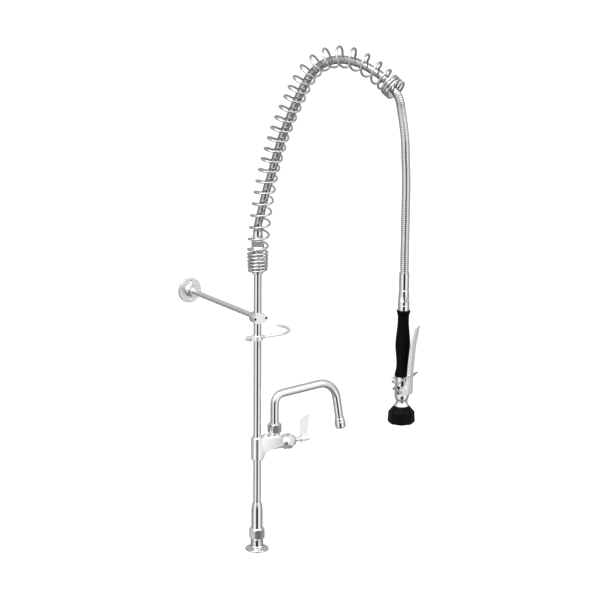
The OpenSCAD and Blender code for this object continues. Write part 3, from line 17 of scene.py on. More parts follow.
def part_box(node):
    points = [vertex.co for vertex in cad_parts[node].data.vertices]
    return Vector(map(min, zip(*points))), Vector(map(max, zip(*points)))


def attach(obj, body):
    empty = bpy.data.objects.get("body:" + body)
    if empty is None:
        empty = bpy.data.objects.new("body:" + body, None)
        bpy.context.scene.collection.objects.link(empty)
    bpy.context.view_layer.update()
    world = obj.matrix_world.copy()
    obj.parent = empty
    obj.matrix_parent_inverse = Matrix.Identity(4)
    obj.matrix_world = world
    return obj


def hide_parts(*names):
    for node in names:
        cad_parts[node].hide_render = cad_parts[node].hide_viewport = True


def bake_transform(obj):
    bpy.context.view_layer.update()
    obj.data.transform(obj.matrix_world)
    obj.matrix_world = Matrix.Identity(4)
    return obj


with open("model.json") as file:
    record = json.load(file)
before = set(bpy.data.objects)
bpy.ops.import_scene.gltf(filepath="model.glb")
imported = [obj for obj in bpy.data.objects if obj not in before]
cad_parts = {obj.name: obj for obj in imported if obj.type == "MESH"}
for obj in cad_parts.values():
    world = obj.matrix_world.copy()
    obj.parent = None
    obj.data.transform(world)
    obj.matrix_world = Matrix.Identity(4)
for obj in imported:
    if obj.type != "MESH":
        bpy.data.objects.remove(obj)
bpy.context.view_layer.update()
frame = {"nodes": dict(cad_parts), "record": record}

# ---- Sizes ----

MM = 0.001
ARCH_TURN = math.radians(-70)
# Square to the arch's plane
ARCH_SIDE = Vector((-math.sin(ARCH_TURN), math.cos(ARCH_TURN), 0))
RISER_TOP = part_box("riser_pipe")[1].z

# The spring's wire starts CURL_PHASE round from the arch's outer side
WIRE_D = 5 * MM
WIRE_SIDES = 14
SPRING_TURNS = 33.875
CURL_PHASE = math.radians(214.2)
CURL_STEPS = 32
# Radius of the curls' centre line at a few of them, as [curl, millimetres]; it stays at the last
CURL_RADII = ((0, 18.4), (1, 19.6), (5, 20.7))

HOSE_D = 17.5 * MM
HOSE_BORE = 10 * MM
HOSE_SIDES = 28
RIB_PITCH = 4 * MM
RIB_DEPTH = 0.8 * MM
# Skin of one rib: share of the pitch, share of the depth, and whether the dark groove metal follows,
# which is painted shade for the groove's hollow
RIB_SHAPE = (
    (0.0, 0.9, True),
    (0.05, 0.08, False),
    (0.1, 0.0, False),
    (0.8, 0.0, False),
    (0.85, 0.08, True),
    (0.9, 0.9, True),
)
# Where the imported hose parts, counted in its own coarser ribs: arch, then bend, of the whole
HOSE_RIBS = 130
ARCH_RIBS = 85
BEND_RIBS = 103
# Points that follow a length of hose, and ribs between two rings of its bore
CORD_POINTS = 40
BORE_STEP = 3


def arch_point(x, y, z):
    """A point of the arch's plane, in millimetres from the riser's top end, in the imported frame."""
    c, s = math.cos(ARCH_TURN), math.sin(ARCH_TURN)
    return Vector((x * c - y * s, x * s + y * c, z)) * MM + Vector((0, 0, RISER_TOP))


# Centre line of the spring, one point for each curl, [out, up]
SPRING_ROUTE = [
    arch_point(x, 0, z)
    for x, z in (
        (0, -33), (0, -26), (0, -19), (0, -12), (0, -4), (0, 3), (0, 12), (2, 34), (5, 59),
        (8, 85), (12, 110), (17, 135), (22, 159), (28, 183), (35, 206), (43, 228), (51, 251),
        (60, 273), (70, 295), (81, 317), (93, 339), (104, 359), (116, 379), (132, 400), (154, 418),
        (181, 431), (212, 436), (243, 434), (273, 425), (300, 412), (320, 400), (331, 391),
        (337, 387), (343, 383), (349, 379),
    )
]
# Centre line of the hose from ferrule to ferrule, [out, sideways, up]
HOSE_ROUTE = [
    arch_point(*p)
    for p in (
        (0, 0, 41), (0, 0, 60), (3, 0, 75), (8, 0, 92), (13, 1, 112), (19, 2, 135), (26, 3, 158),
        (34, 4, 181), (41, 4, 204), (49, 4, 226), (57, 4, 249), (66, 4, 271), (76, 4, 292),
        (87, 4, 314), (98, 4, 336), (109, 4, 356), (121, 4, 376), (136, 4, 396), (157, 3, 413),
        (183, 2, 425),
        (212, 1, 430), (242, 0, 429), (272, 0, 422), (300, 0, 411), (321, 0, 400), (331, 0, 391),
        (340, 0, 383), (350, 0, 373), (357, 0, 361), (361, 0, 345), (367, 0, 316), (372, 0, 284),
        (374, 0, 252), (376, 0, 220), (377, 0, 185), (377, 0, 150), (377, 0, 115), (377, 0, 80),
        (377, 0, 45), (377, 0, 25), (377, 0, 5),
    )
]

# ---- Camera ----

IMAGE_PX = 600
FOCAL_PX = 1879.16
SENSOR_MM = 36
CLIP_START, CLIP_END = 0.05, 200
VIEW_AZIMUTH = math.radians(-32.4523)
VIEW_ELEVATION = math.radians(13.5211)
VIEW_ROLL = math.radians(0.4756)
VIEW_DISTANCE = 4.0115
TARGET_RIGHT = 0.0905
TARGET_HEIGHT = 0.5654
# Heading from the object to the camera
STAND_AZIMUTH = VIEW_AZIMUTH - math.pi / 2


def make_camera():
    right = Vector((math.cos(VIEW_AZIMUTH), math.sin(VIEW_AZIMUTH), 0))
    back = Vector(
        (
            math.cos(STAND_AZIMUTH) * math.cos(VIEW_ELEVATION),
            math.sin(STAND_AZIMUTH) * math.cos(VIEW_ELEVATION),
            math.sin(VIEW_ELEVATION),
        )
    )
    target = right * TARGET_RIGHT + Vector((0, 0, TARGET_HEIGHT))
    up = back.cross(right)
    c, s = math.cos(VIEW_ROLL), math.sin(VIEW_ROLL)
    rolled_right = c * right + s * up
    rolled_up = c * up - s * right
    data = bpy.data.cameras.new("photo_camera")
    data.sensor_width = SENSOR_MM
    data.lens = FOCAL_PX / IMAGE_PX * SENSOR_MM
    data.clip_start, data.clip_end = CLIP_START, CLIP_END
    camera = bpy.data.objects.new("photo_camera", data)
    bpy.context.scene.collection.objects.link(camera)
    axes = Matrix((rolled_right, rolled_up, back)).transposed().to_4x4()
    camera.matrix_world = Matrix.Translation(target + back * VIEW_DISTANCE) @ axes
    bpy.context.scene.camera = camera


# ---- Smooth curves and swept tubes ----


def route_at(route, t):
    """Point of a smooth curve through route's points, at t steps along them."""
    last = len(route) - 1
    i = min(max(int(math.floor(t)), 0), last - 1)
    f = t - i
    b, c = route[i], route[i + 1]
    a = route[i - 1] if i > 0 else 2 * b - c
    d = route[i + 2] if i + 2 <= last else 2 * c - b
    square, cube = 2 * a - 5 * b + 4 * c - d, 3 * b - a - 3 * c + d
    return 0.5 * (2 * b + (c - a) * f + square * f * f + cube * f**3)


def route_direction(route, t, step=0.02):
    ahead = route_at(route, min(t + step, len(route) - 1))
    return (ahead - route_at(route, max(t - step, 0))).normalized()


class Lengths:
    """A route measured along its length, so that a place on it is found by distance."""

    def __init__(self, route, steps=24):
        self.route = route
        self.ts = [i / steps for i in range((len(route) - 1) * steps + 1)]
        points = [route_at(route, t) for t in self.ts]
        self.sums = [0.0]
        for a, b in zip(points, points[1:]):
            self.sums.append(self.sums[-1] + (b - a).length)

    @property
    def total(self):
        return self.sums[-1]

    def t(self, s):
        return float(np.interp(s, self.sums, self.ts))

    def point(self, s):
        return route_at(self.route, self.t(s))

    def direction(self, s):
        return route_direction(self.route, self.t(s))


def ring(centre, direction, radius, sides, start):
    """Points round centre, square to direction; start is a vector towards the first of them."""
    e = (start - direction * start.dot(direction)).normalized()
    g = direction.cross(e)
    return [
        centre + radius * (math.cos(a) * e + math.sin(a) * g)
        for a in (2 * math.pi * j / sides for j in range(sides))
    ]


def tube_mesh(name, rings, bore=None):
    """A mesh skinned over rings of points; bore is a second run of rings for the inside."""
    sides = len(rings[0])
    points = [p for r in rings for p in r]
    faces = []

    def wall(first, count, inward):
        for i in range(count - 1):
            for j in range(sides):
                k = (j + 1) % sides
                a, b = first + i * sides, first + (i + 1) * sides
                quad = (a + j, a + k, b + k, b + j)
                faces.append(quad[::-1] if inward else quad)

    wall(0, len(rings), False)
    end = (len(rings) - 1) * sides
    if bore:
        first = len(points)
        points += [p for r in bore for p in r]
        wall(first, len(bore), True)
        last = first + (len(bore) - 1) * sides
        for j in range(sides):
            k = (j + 1) % sides
            faces.append((j, first + j, first + k, k))
            faces.append((end + j, end + k, last + k, last + j))
    else:
        faces.append(tuple(reversed(range(sides))))
        faces.append(tuple(end + j for j in range(sides)))
    mesh = bpy.data.meshes.new(name)
    mesh.from_pydata([tuple(p) for p in points], [], faces)
    mesh.update()
    return mesh


def add_piece(name, mesh, material, crease):
    piece = bpy.data.objects.new(name, mesh)
    bpy.context.scene.collection.objects.link(piece)
    mesh.materials.append(material)
    smooth(piece, crease)
    return piece


def smooth(piece, crease):
    """Smooth shading, with a hard edge wherever two faces meet at more than crease."""
    mesh = piece.data
    mesh.polygons.foreach_set("use_smooth", [True] * len(mesh.polygons))
    mesh.set_sharp_from_angle(angle=crease)


# ---- Materials ----

# How far the lines of a brushed surface are drawn out along the brushing, as a scale
BRUSH_STRETCH = 0.04
RUBBER_SPECULAR = 0.06
BRASS_DARK, BRASS_LIGHT = (0.6, 0.43, 0.2), (0.76, 0.58, 0.3)
PACKING_DARK, PACKING_LIGHT = (0.78, 0.76, 0.7), (0.88, 0.87, 0.83)
RUBBER_DARK, RUBBER_LIGHT = (0.002, 0.002, 0.0022), (0.004, 0.004, 0.0044)
GRIP_DARK, GRIP_LIGHT = (0.0012, 0.0012, 0.0014), (0.0025, 0.0025, 0.0027)
# Painted shade: where the hose's colour darkens from the hanging metal's to the painted coil shade of
# the length in the spring, as [height from, height to, level]
HOSE_SHADE_RISE = (0.97, 1.03, 0.66)


class Nodes:
    """A material being built, with short helpers for its nodes."""

    def __init__(self, name):
        self.material = bpy.data.materials.new(name)
        self.material.use_nodes = True
        self.tree = self.material.node_tree
        self.shader = self.tree.nodes["Principled BSDF"]
        coordinates = self.add("ShaderNodeTexCoord")
        self.place = coordinates.outputs["Object"]

    def add(self, kind, **values):
        node = self.tree.nodes.new(kind)
        for key, value in values.items():
            setattr(node, key, value)
        return node

    def link(self, a, b):
        self.tree.links.new(a, b)

    def stretched(self, scale):
        mapping = self.add("ShaderNodeMapping")
        mapping.inputs["Scale"].default_value = scale
        self.link(self.place, mapping.inputs["Vector"])
        return mapping.outputs["Vector"]

    def noise(self, scale, detail=3.0, roughness=0.5, vector=None):
        node = self.add("ShaderNodeTexNoise")
        node.inputs["Scale"].default_value = scale
        node.inputs["Detail"].default_value = detail
        node.inputs["Roughness"].default_value = roughness
        self.link(vector or self.place, node.inputs["Vector"])
        return node.outputs["Fac"]

    def ramp(self, source, low, high, start=0.3, end=0.7):
        """A colour that runs from low to high as source goes from start to end."""
        node = self.add("ShaderNodeValToRGB")
        first, last = node.color_ramp.elements
        first.position, last.position = start, end
        first.color, last.color = (*low, 1), (*high, 1)
        self.link(source, node.inputs["Fac"])
        return node.outputs["Color"]

    def between(self, source, low, high):
        """A number that runs from low to high as source goes from 0 to 1."""
        node = self.add("ShaderNodeMapRange")
        node.inputs["To Min"].default_value = low
        node.inputs["To Max"].default_value = high
        self.link(source, node.inputs["Value"])
        return node.outputs["Result"]

    def rise(self, start, end):
        """A number that eases from 0 to 1 as the height goes from start to end."""
        place = self.add("ShaderNodeSeparateXYZ")
        self.link(self.place, place.inputs["Vector"])
        node = self.add("ShaderNodeMapRange", interpolation_type="SMOOTHSTEP")
        node.inputs["From Min"].default_value = start
        node.inputs["From Max"].default_value = end
        self.link(place.outputs["Z"], node.inputs["Value"])
        return node.outputs["Result"]

    def multiply_colour(self, colour, share):
        """Multiplies the base colour by colour where share is 1, and leaves it where share is 0."""
        base = self.shader.inputs["Base Color"]
        node = self.add("ShaderNodeMix", data_type="RGBA", blend_type="MULTIPLY")
        node.inputs["B"].default_value = (*colour, 1)
        self.link(share, node.inputs["Factor"])
        self.link(base.links[0].from_socket, node.inputs["A"])
        self.link(node.outputs["Result"], base)

    def wavy(self, height, distance):
        """Roughens the surface by up to distance, as height says."""
        node = self.add("ShaderNodeBump")
        node.inputs["Distance"].default_value = distance
        self.link(height, node.inputs["Height"])
        self.link(node.outputs["Normal"], self.shader.inputs["Normal"])

    def metal(self, low, high, rough_low, rough_high, cloud):
        """Metal with a faint clouding of its colour and its gloss."""
        self.shader.inputs["Metallic"].default_value = 1.0
        self.link(self.ramp(cloud, low, high), self.shader.inputs["Base Color"])
        self.link(self.between(cloud, rough_low, rough_high), self.shader.inputs["Roughness"])


def grey(value):
    return (value, value, value)


def chrome(name, level=0.9, waviness=0.02 * MM):
    """Bright chrome plate: a hard mirror with a slight waviness and polishing haze."""
    n = Nodes(name)
    haze = n.noise(scale=38, detail=4, roughness=0.6)
    n.metal(grey(level - 0.05), grey(level), 0.035, 0.075, haze)
    n.wavy(n.noise(scale=70, detail=2), waviness)
    return n.material


def satin(name, level, rough, grain, direction):
    """Satin metal, brushed along one direction: grain is the scale across it."""
    n = Nodes(name)
    along = n.stretched(tuple(BRUSH_STRETCH if d else 1.0 for d in direction))
    lines = n.noise(scale=grain, detail=5, roughness=0.65, vector=along)
    n.metal(grey(level - 0.07), grey(level + 0.03), rough - 0.05, rough + 0.06, lines)
    n.wavy(lines, 0.03 * MM)
    return n.material


def pearl(name, metallic, rough, level=0.97):
    """Chrome on a blasted casting: nearly white, and soft in its reflections."""
    n = Nodes(name)
    haze = n.noise(scale=46, detail=4, roughness=0.6)
    n.metal(grey(level - 0.04), grey(level), rough - 0.02, rough + 0.04, haze)
    n.shader.inputs["Metallic"].default_value = metallic
    n.wavy(n.noise(scale=900), 0.02 * MM)
    return n.material


def turned_steel(name, level=0.62):
    """Plain stainless steel with a machined grain."""
    n = Nodes(name)
    cloud = n.noise(scale=420, detail=4, roughness=0.6)
    n.metal(grey(level - 0.08), grey(level + 0.05), 0.2, 0.34, cloud)
    n.wavy(n.noise(scale=1400, detail=2), 0.02 * MM)
    return n.material


def hose_metal(name, level, rough, metallic=1.0, painted_shade=None):
    """Metal of the stainless hose; the last argument, when given, is [height from where, height to
    where, level there] for shade painted into its colour above that height.
    """
    n = Nodes(name)
    cloud = n.noise(scale=160, roughness=0.6)
    n.metal(grey(level * 0.85), grey(level), rough, rough * 1.6, cloud)
    n.shader.inputs["Metallic"].default_value = metallic
    # Painted shade: above the given height the colour darkens to the given level
    if painted_shade:
        start, end, shade_level = painted_shade
        n.multiply_colour(grey(shade_level / level), n.rise(start, end))
    n.wavy(n.noise(scale=700, detail=2), 0.02 * MM)
    return n.material


def brass(name):
    """Plain machined brass."""
    n = Nodes(name)
    cloud = n.noise(scale=120, detail=4, roughness=0.6)
    n.metal(BRASS_DARK, BRASS_LIGHT, 0.22, 0.34, cloud)
    n.wavy(n.noise(scale=900, detail=2), 0.02 * MM)
    return n.material


def rubber(name, low, high, rough, grain, depth):
    """Moulded black rubber with a fine grain."""
    n = Nodes(name)
    cloud = n.noise(scale=55, detail=4, roughness=0.6)
    n.link(n.ramp(cloud, low, high), n.shader.inputs["Base Color"])
    n.link(n.between(cloud, rough - 0.05, rough + 0.08), n.shader.inputs["Roughness"])
    n.shader.inputs["Specular IOR Level"].default_value = RUBBER_SPECULAR
    n.wavy(n.noise(scale=grain, roughness=0.6), depth)
    return n.material


def packing(name):
    """White sealing material with a woven unevenness."""
    n = Nodes(name)
    cloud = n.noise(scale=300)
    n.link(n.ramp(cloud, PACKING_DARK, PACKING_LIGHT), n.shader.inputs["Base Color"])
    n.shader.inputs["Roughness"].default_value = 0.55
    n.wavy(cloud, 0.03 * MM)
    return n.material


CHROME = chrome("polished_chrome")
SPRING_CHROME = chrome("spring_chrome", level=0.7, waviness=0.03 * MM)
BASE_CHROME = chrome("base_chrome", level=0.76)
PEARL = pearl("pearl_chrome", metallic=0.86, rough=0.14)
LEVER_METAL = pearl("lever_metal", metallic=0.62, rough=0.24)
BLADE_METAL = pearl("blade_metal", metallic=0.4, rough=0.2)
ARM_SATIN = satin("arm_satin", level=0.95, rough=0.27, grain=900, direction=(0, 1, 0))
CAST_SATIN = satin("cast_satin", level=0.8, rough=0.34, grain=520, direction=(1, 0, 0))
STEEL = turned_steel("turned_steel")
DARK_STEEL = turned_steel("dark_steel", level=0.16)
HOSE_METAL = hose_metal("hose_metal", level=0.97, rough=0.04, metallic=0.86)
# Painted shade: the hose inside the spring is darkened for the coils' shade on it
HOSE_PAINTED_SHADE = hose_metal("hose_painted_shade", level=0.66, rough=0.06)
HOSE_SHADE_BLEND = hose_metal("hose_shade_blend", level=0.97, rough=0.05, metallic=0.9, painted_shade=HOSE_SHADE_RISE)
# Painted shade: a near-black metal for the shade in the hose's grooves
HOSE_GROOVE_SHADE = hose_metal("hose_groove_shade", level=0.1, rough=0.3)
BRASS = brass("brass")
RUBBER = rubber("moulded_rubber", RUBBER_DARK, RUBBER_LIGHT, rough=0.36, grain=700, depth=0.06 * MM)
GRIP = rubber("grip_rubber", GRIP_DARK, GRIP_LIGHT, rough=0.33, grain=900, depth=0.08 * MM)
PACKING = packing("packing")

SLOT_LOOKS = {
    "polished_chrome": CHROME,
    "spring_steel": SPRING_CHROME,
    "satin_metal": ARM_SATIN,
    "screw_steel": STEEL,
    "hose_steel": HOSE_METAL,
    "black_rubber": RUBBER,
    "grip_plastic": GRIP,
    "inner_brass": BRASS,
    "white_packing": PACKING,
}
NODE_LOOKS = {
    "wall_flange": CAST_SATIN,
    "clamp_back": CAST_SATIN,
    "clamp_front": PEARL,
    "clamp_screws": DARK_STEEL,
    "addon_body": PEARL,
    "base_flange": BASE_CHROME,
    "handle": BLADE_METAL,
    "lever": LEVER_METAL,
    "hook_ring": LEVER_METAL,
    "hook_rod": LEVER_METAL,
}
# Turn of the two eight-sided nuts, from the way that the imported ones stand
NUT_TURN = math.radians(23.2)
NUTS = ("union_nut", "spout_nut")
# Faces that meet at more than this keep a hard edge
CAD_CREASE = math.radians(28)
CASTING_CREASE = math.radians(35)
TUBE_CREASE = math.radians(40)
HOSE_CREASE = math.radians(10)


def dress_nodes():
    """Gives every carried-over CAD node its material and smooth shading."""
    slots = {s["node"]: s["material_slot"] for s in frame["record"]["subparts"]}
    for name, node in frame["nodes"].items():
        look = NODE_LOOKS.get(name, SLOT_LOOKS[slots[name]])
        node.data.materials.clear()
        node.data.materials.append(look)
        smooth(node, CAD_CREASE)


# Outline of the add-on faucet's casting between the riser and the bonnet, along Y, [out, up]
CASTING_OUTLINE = (
    (1, 208.5), (8.4, 208.5), (9, 214), (10.6, 219.5), (13.6, 224.5), (18.6, 227.6), (27, 228.4),
    (60.5, 229.4), (60.5, 247), (59, 252), (55, 255.6), (49, 257.2), (1, 257.2),
)
CASTING_W = 26.8 * MM
CASTING_ROUND = 2.6 * MM
ROUND_STEPS = 4


def make_casting():
    """The full-height body of the add-on faucet, round its ports."""
    mesh = bpy.data.meshes.new("addon_casting")
    solid = bmesh.new()
    near, far = (
        [solid.verts.new((x * MM, y, z * MM)) for x, z in CASTING_OUTLINE]
        for y in (-CASTING_W / 2, CASTING_W / 2)
    )
    solid.faces.new(near)
    solid.faces.new(list(reversed(far)))
    for i, k in zip(range(len(near)), [*range(1, len(near)), 0]):
        solid.faces.new((near[i], far[i], far[k], near[k]))
    rims = [e for e in solid.edges if e.verts[0].co.y == e.verts[1].co.y]
    bmesh.ops.bevel(
        solid,
        geom=rims,
        offset=CASTING_ROUND,
        segments=ROUND_STEPS,
        profile=0.5,
        affect="EDGES",
        clamp_overlap=True,
    )
    bmesh.ops.recalc_face_normals(solid, faces=solid.faces)
    solid.to_mesh(mesh)
    solid.free()
    casting = add_piece("addon_casting", mesh, PEARL, CASTING_CREASE)
    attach(casting, "stand")


def turn_nuts():
    """Turns each nut about its own axis to the way that its flats face in use."""
    turn = Matrix.Rotation(NUT_TURN, 4, "Z")
    for name in NUTS:
        low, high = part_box(name)
        axis = (low + high) / 2
        mesh = frame["nodes"][name].data.copy()
        mesh.transform(Matrix.Translation(axis) @ turn @ Matrix.Translation(-axis))
        nut = bpy.data.objects.new(name + "_turned", mesh)
        bpy.context.scene.collection.objects.link(nut)
        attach(nut, "stand")
        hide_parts(name)


# ---- Hose ----


def hose_piece(name, lengths, start, end, metal=HOSE_METAL):
    """A stretch of ribbed hose between two distances along its route, and the points it follows."""

    def rings_at(marks):
        return [
            ring(lengths.point(s), lengths.direction(s), radius, HOSE_SIDES, ARCH_SIDE)
            for s, radius in marks
        ]

    ribs = round((end - start) / RIB_PITCH)
    pitch = (end - start) / ribs
    skin = [
        (start + (i + share) * pitch, HOSE_D / 2 - depth * RIB_DEPTH)
        for i in range(ribs)
        for share, depth, _ in RIB_SHAPE
    ]
    skin.append((end, HOSE_D / 2 - RIB_SHAPE[0][1] * RIB_DEPTH))
    stations = np.linspace(start, end, max(2, round(ribs / BORE_STEP)))
    bore = [(s, HOSE_BORE / 2) for s in stations]
    piece = add_piece(name, tube_mesh(name, rings_at(skin), rings_at(bore)), metal, HOSE_CREASE)
    # Painted shade in the grooves: their faces get the dark groove metal
    piece.data.materials.append(HOSE_GROOVE_SHADE)
    for i in range(len(skin) - 1):
        if RIB_SHAPE[i % len(RIB_SHAPE)][2]:
            for j in range(HOSE_SIDES):
                piece.data.polygons[i * HOSE_SIDES + j].material_index = 1
    return piece, [tuple(lengths.point(s)) for s in np.linspace(start, end, CORD_POINTS)]


def make_hose():
    """The hose in three lengths: in the spring, over its mouth, and hanging."""
    lengths = Lengths(HOSE_ROUTE)
    rib = lengths.total / HOSE_RIBS
    leaves, hangs = ARCH_RIBS * rib, BEND_RIBS * rib

    # The length in the spring carries the painted coil shade in its colour
    arch, _ = hose_piece("hose_in_spring", lengths, 0, leaves, HOSE_PAINTED_SHADE)
    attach(arch, "stand")
    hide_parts("hose_arch")

    # Over the mouth the hose's colour carries painted shade that grows towards the top, to meet the
    # length in the spring
    bend, bend_path = hose_piece("hose_over_bend", lengths, leaves, hangs, HOSE_SHADE_BLEND)
    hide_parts("hose_bend")
    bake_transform(bend)

    drop, drop_path = hose_piece("hose_hanging", lengths, hangs, lengths.total)
    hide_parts("hose_drop")
    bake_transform(drop)


# ---- Spring ----


def make_spring():
    """The round wire of the spring, wound along its route with its two cut ends."""
    turns = [i / CURL_STEPS for i in range(int(SPRING_TURNS * CURL_STEPS) + 1)]
    centres = [route_at(SPRING_ROUTE, t) for t in turns]
    wire = []
    for t, centre in zip(turns, centres):
        across = ARCH_SIDE.cross(route_direction(SPRING_ROUTE, t))
        angle = CURL_PHASE + 2 * math.pi * t
        radius = float(np.interp(t, *zip(*CURL_RADII))) * MM
        wire.append(centre + radius * (math.cos(angle) * across + math.sin(angle) * ARCH_SIDE))
    first = wire[0] + WIRE_D * (wire[0] - wire[1]).normalized()
    last = wire[-1] + WIRE_D * (wire[-1] - wire[-2]).normalized()
    wire = [first, *wire, last]
    centres = [centres[0], *centres, centres[-1]]
    rings = []
    for i, (point, centre) in enumerate(zip(wire, centres)):
        direction = (wire[min(i + 1, len(wire) - 1)] - wire[max(i - 1, 0)]).normalized()
        rings.append(ring(point, direction, WIRE_D / 2, WIRE_SIDES, centre - point))
    spring = add_piece("spring_wire", tube_mesh("spring_wire", rings), SPRING_CHROME, TUBE_CREASE)
    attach(spring, "stand")
    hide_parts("spring")


# ---- Studio ----

FLOOR_SIZE = 120
FLOOR_DROP = 0.0002
FLOOR_LEVEL = 0.8
# Light that the floor gives off to the camera, so that it is as white as the backdrop
FLOOR_GLOW = 0.42
AMBIENT_LEVEL = 0.6
MIRROR_STRENGTH = 1.1
# What mirrors see level with them, as [degrees from ahead, on the camera's side, and brightness]
SURROUNDINGS = (
    (0, 0.005), (14, 0.015), (34, 1.0), (50, 1.0), (64, 0.72), (78, 0.46), (98, 0.3), (180, 0.26),
)
STRIPE_TURN = math.radians(3)
# What they see above, ahead and behind, and the sines of the heights between which it takes over
SKY_AHEAD, SKY_BEHIND = 1.0, 0.48
SKY_FROM, SKY_TO = -0.1, 0.3
# How far ahead, as a cosine, the sky goes from the one to the other
BEHIND_AT, AHEAD_AT = -0.3, 0.25
# What they see below, and the sines of the heights
GROUND_LEVEL = 0.25
GROUND_FROM, GROUND_TO = -0.5, -0.75
# Suns as [name, heading, height, strength], and the angle that each takes up
LAMPS = (("key", -150, 55, 1.4), ("fill", -70, 40, 0.5))
LAMP_ANGLE = math.radians(50)


def make_floor():
    """A plain white floor that keeps the object's shadow."""
    n = Nodes("studio_floor")
    n.shader.inputs["Roughness"].default_value = 0.9
    n.shader.inputs["Specular IOR Level"].default_value = 0.0
    mottle = n.noise(scale=0.7, detail=2)
    colour = n.ramp(mottle, grey(FLOOR_LEVEL - 0.01), grey(FLOOR_LEVEL))
    n.link(colour, n.shader.inputs["Base Color"])
    glow = n.add("ShaderNodeEmission")
    rays = n.add("ShaderNodeLightPath")
    seen = n.add("ShaderNodeMath", operation="MULTIPLY")
    seen.inputs[1].default_value = FLOOR_GLOW
    n.link(rays.outputs["Is Camera Ray"], seen.inputs[0])
    n.link(seen.outputs["Value"], glow.inputs["Strength"])
    both = n.add("ShaderNodeAddShader")
    n.link(n.shader.outputs["BSDF"], both.inputs[0])
    n.link(glow.outputs["Emission"], both.inputs[1])
    n.link(both.outputs["Shader"], n.tree.nodes["Material Output"].inputs["Surface"])
    half = FLOOR_SIZE / 2
    corners = [(-half, -half, 0), (half, -half, 0), (half, half, 0), (-half, half, 0)]
    mesh = bpy.data.meshes.new("studio_floor")
    mesh.from_pydata(corners, [], [(0, 1, 2, 3)])
    mesh.materials.append(n.material)
    floor = bpy.data.objects.new("studio_floor", mesh)
    bpy.context.scene.collection.objects.link(floor)
    floor.location.z = -FLOOR_DROP
    floor.visible_glossy = False


class WorldNodes:
    """The studio's surroundings being built, with short helpers for their nodes."""

    def __init__(self, name):
        world = bpy.data.worlds.new(name)
        bpy.context.scene.world = world
        world.use_nodes = True
        self.tree = world.node_tree
        self.tree.nodes.clear()

    def add(self, kind, **values):
        node = self.tree.nodes.new(kind)
        for key, value in values.items():
            setattr(node, key, value)
        return node

    def link(self, a, b):
        self.tree.links.new(a, b)

    def calc(self, operation, a, b=None):
        """The result of a sum on numbers or sockets."""
        node = self.add("ShaderNodeMath", operation=operation)
        for socket, value in zip(node.inputs, (a, b)):
            if isinstance(value, (int, float)):
                socket.default_value = value
            elif value is not None:
                self.link(value, socket)
        return node.outputs["Value"]

    def eased(self, value, start, end, low=0.0, high=1.0):
        """A number that eases from low to high as value goes from start to end."""
        node = self.add("ShaderNodeMapRange", interpolation_type="SMOOTHSTEP")
        limits = {"From Min": start, "From Max": end, "To Min": low, "To Max": high}
        for key, number in limits.items():
            node.inputs[key].default_value = number
        self.link(value, node.inputs["Value"])
        return node.outputs["Result"]

    def mixed(self, share, near, far):
        """near where share is 0, and far where it is 1."""
        part = self.calc("MULTIPLY", self.calc("SUBTRACT", far, near), share)
        return self.calc("ADD", near, part)

    def steps(self, share, stops):
        """A brightness that runs through stops, each [share, brightness]."""
        node = self.add("ShaderNodeValToRGB")
        elements = node.color_ramp.elements
        while len(elements) < len(stops):
            elements.new(0.5)
        for element, (position, level) in zip(elements, stops):
            element.position = position
            element.color = (*grey(level), 1)
        self.link(share, node.inputs["Fac"])
        return node.outputs["Color"]

    def background(self, level):
        node = self.add("ShaderNodeBackground")
        node.inputs["Color"].default_value = (*grey(level), 1)
        return node

    def choice(self, share, near, far):
        """The one shader where share is 0, and the other where it is 1."""
        node = self.add("ShaderNodeMixShader")
        self.link(share, node.inputs["Fac"])
        self.link(near, node.inputs[1])
        self.link(far, node.inputs[2])
        return node.outputs["Shader"]


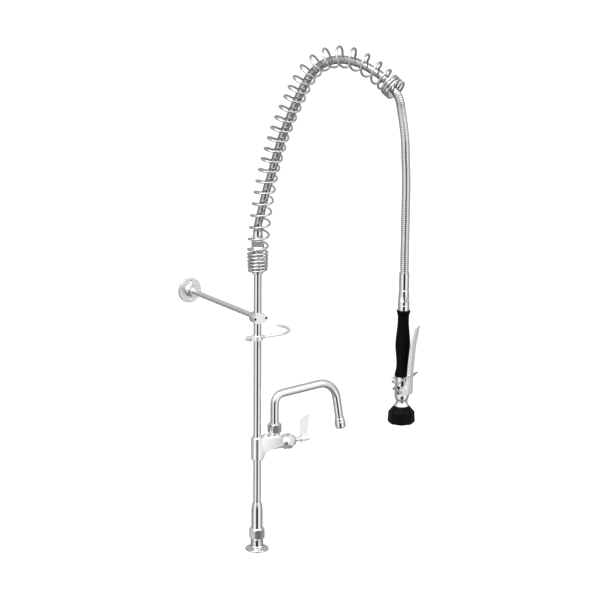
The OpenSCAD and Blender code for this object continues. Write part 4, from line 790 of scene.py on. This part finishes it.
def make_world():
    """White all round, and for mirrors a dark gap ahead, white to both sides and grey behind."""
    w = WorldNodes("studio")
    parts = w.add("ShaderNodeSeparateXYZ")
    w.link(w.add("ShaderNodeTexCoord").outputs["Generated"], parts.inputs["Vector"])
    x, y, z = (parts.outputs[k] for k in "XYZ")

    ahead = STAND_AZIMUTH + STRIPE_TURN
    flat = w.calc("SQRT", w.calc("ADD", w.calc("MULTIPLY", x, x), w.calc("MULTIPLY", y, y)))
    east, north = w.calc("MULTIPLY", x, math.cos(ahead)), w.calc("MULTIPLY", y, math.sin(ahead))
    facing = w.calc("ADD", east, north)
    # The least length keeps straight up and down from dividing by nothing
    turn = w.calc("ARCCOSINE", w.calc("DIVIDE", facing, w.calc("MAXIMUM", flat, 0.001)))
    stops = [(angle / 180, level) for angle, level in SURROUNDINGS]
    level = w.steps(w.calc("DIVIDE", turn, math.pi), stops)
    sky = w.eased(facing, BEHIND_AT, AHEAD_AT, SKY_BEHIND, SKY_AHEAD)
    level = w.mixed(w.eased(z, SKY_FROM, SKY_TO), level, sky)
    level = w.mixed(w.eased(z, GROUND_FROM, GROUND_TO), level, GROUND_LEVEL)

    mirror = w.background(0.0)
    mirror.inputs["Strength"].default_value = MIRROR_STRENGTH
    w.link(level, mirror.inputs["Color"])
    rays = w.add("ShaderNodeLightPath").outputs
    backdrop, ambient = w.background(1.0), w.background(AMBIENT_LEVEL)
    plain = w.choice(
        rays["Is Camera Ray"], ambient.outputs["Background"], backdrop.outputs["Background"]
    )
    mirrored = w.calc("MAXIMUM", rays["Is Glossy Ray"], rays["Is Transmission Ray"])
    out = w.add("ShaderNodeOutputWorld")
    w.link(w.choice(mirrored, plain, mirror.outputs["Background"]), out.inputs["Surface"])


def make_lamps():
    """Two broad suns: a key from the upper left and a weak fill from the right."""
    for name, heading, height, strength in LAMPS:
        data = bpy.data.lights.new(name, "SUN")
        data.energy = strength
        data.angle = LAMP_ANGLE
        lamp = bpy.data.objects.new(name, data)
        bpy.context.scene.collection.objects.link(lamp)
        a, e = math.radians(heading), math.radians(height)
        source = Vector((math.cos(a) * math.cos(e), math.sin(a) * math.cos(e), math.sin(e)))
        lamp.rotation_euler = source.to_track_quat("Z", "Y").to_euler()


make_camera()
make_hose()
make_spring()
dress_nodes()
turn_nuts()
make_casting()
make_floor()
make_world()
make_lamps()
bpy.context.scene.view_settings.view_transform = "Standard"
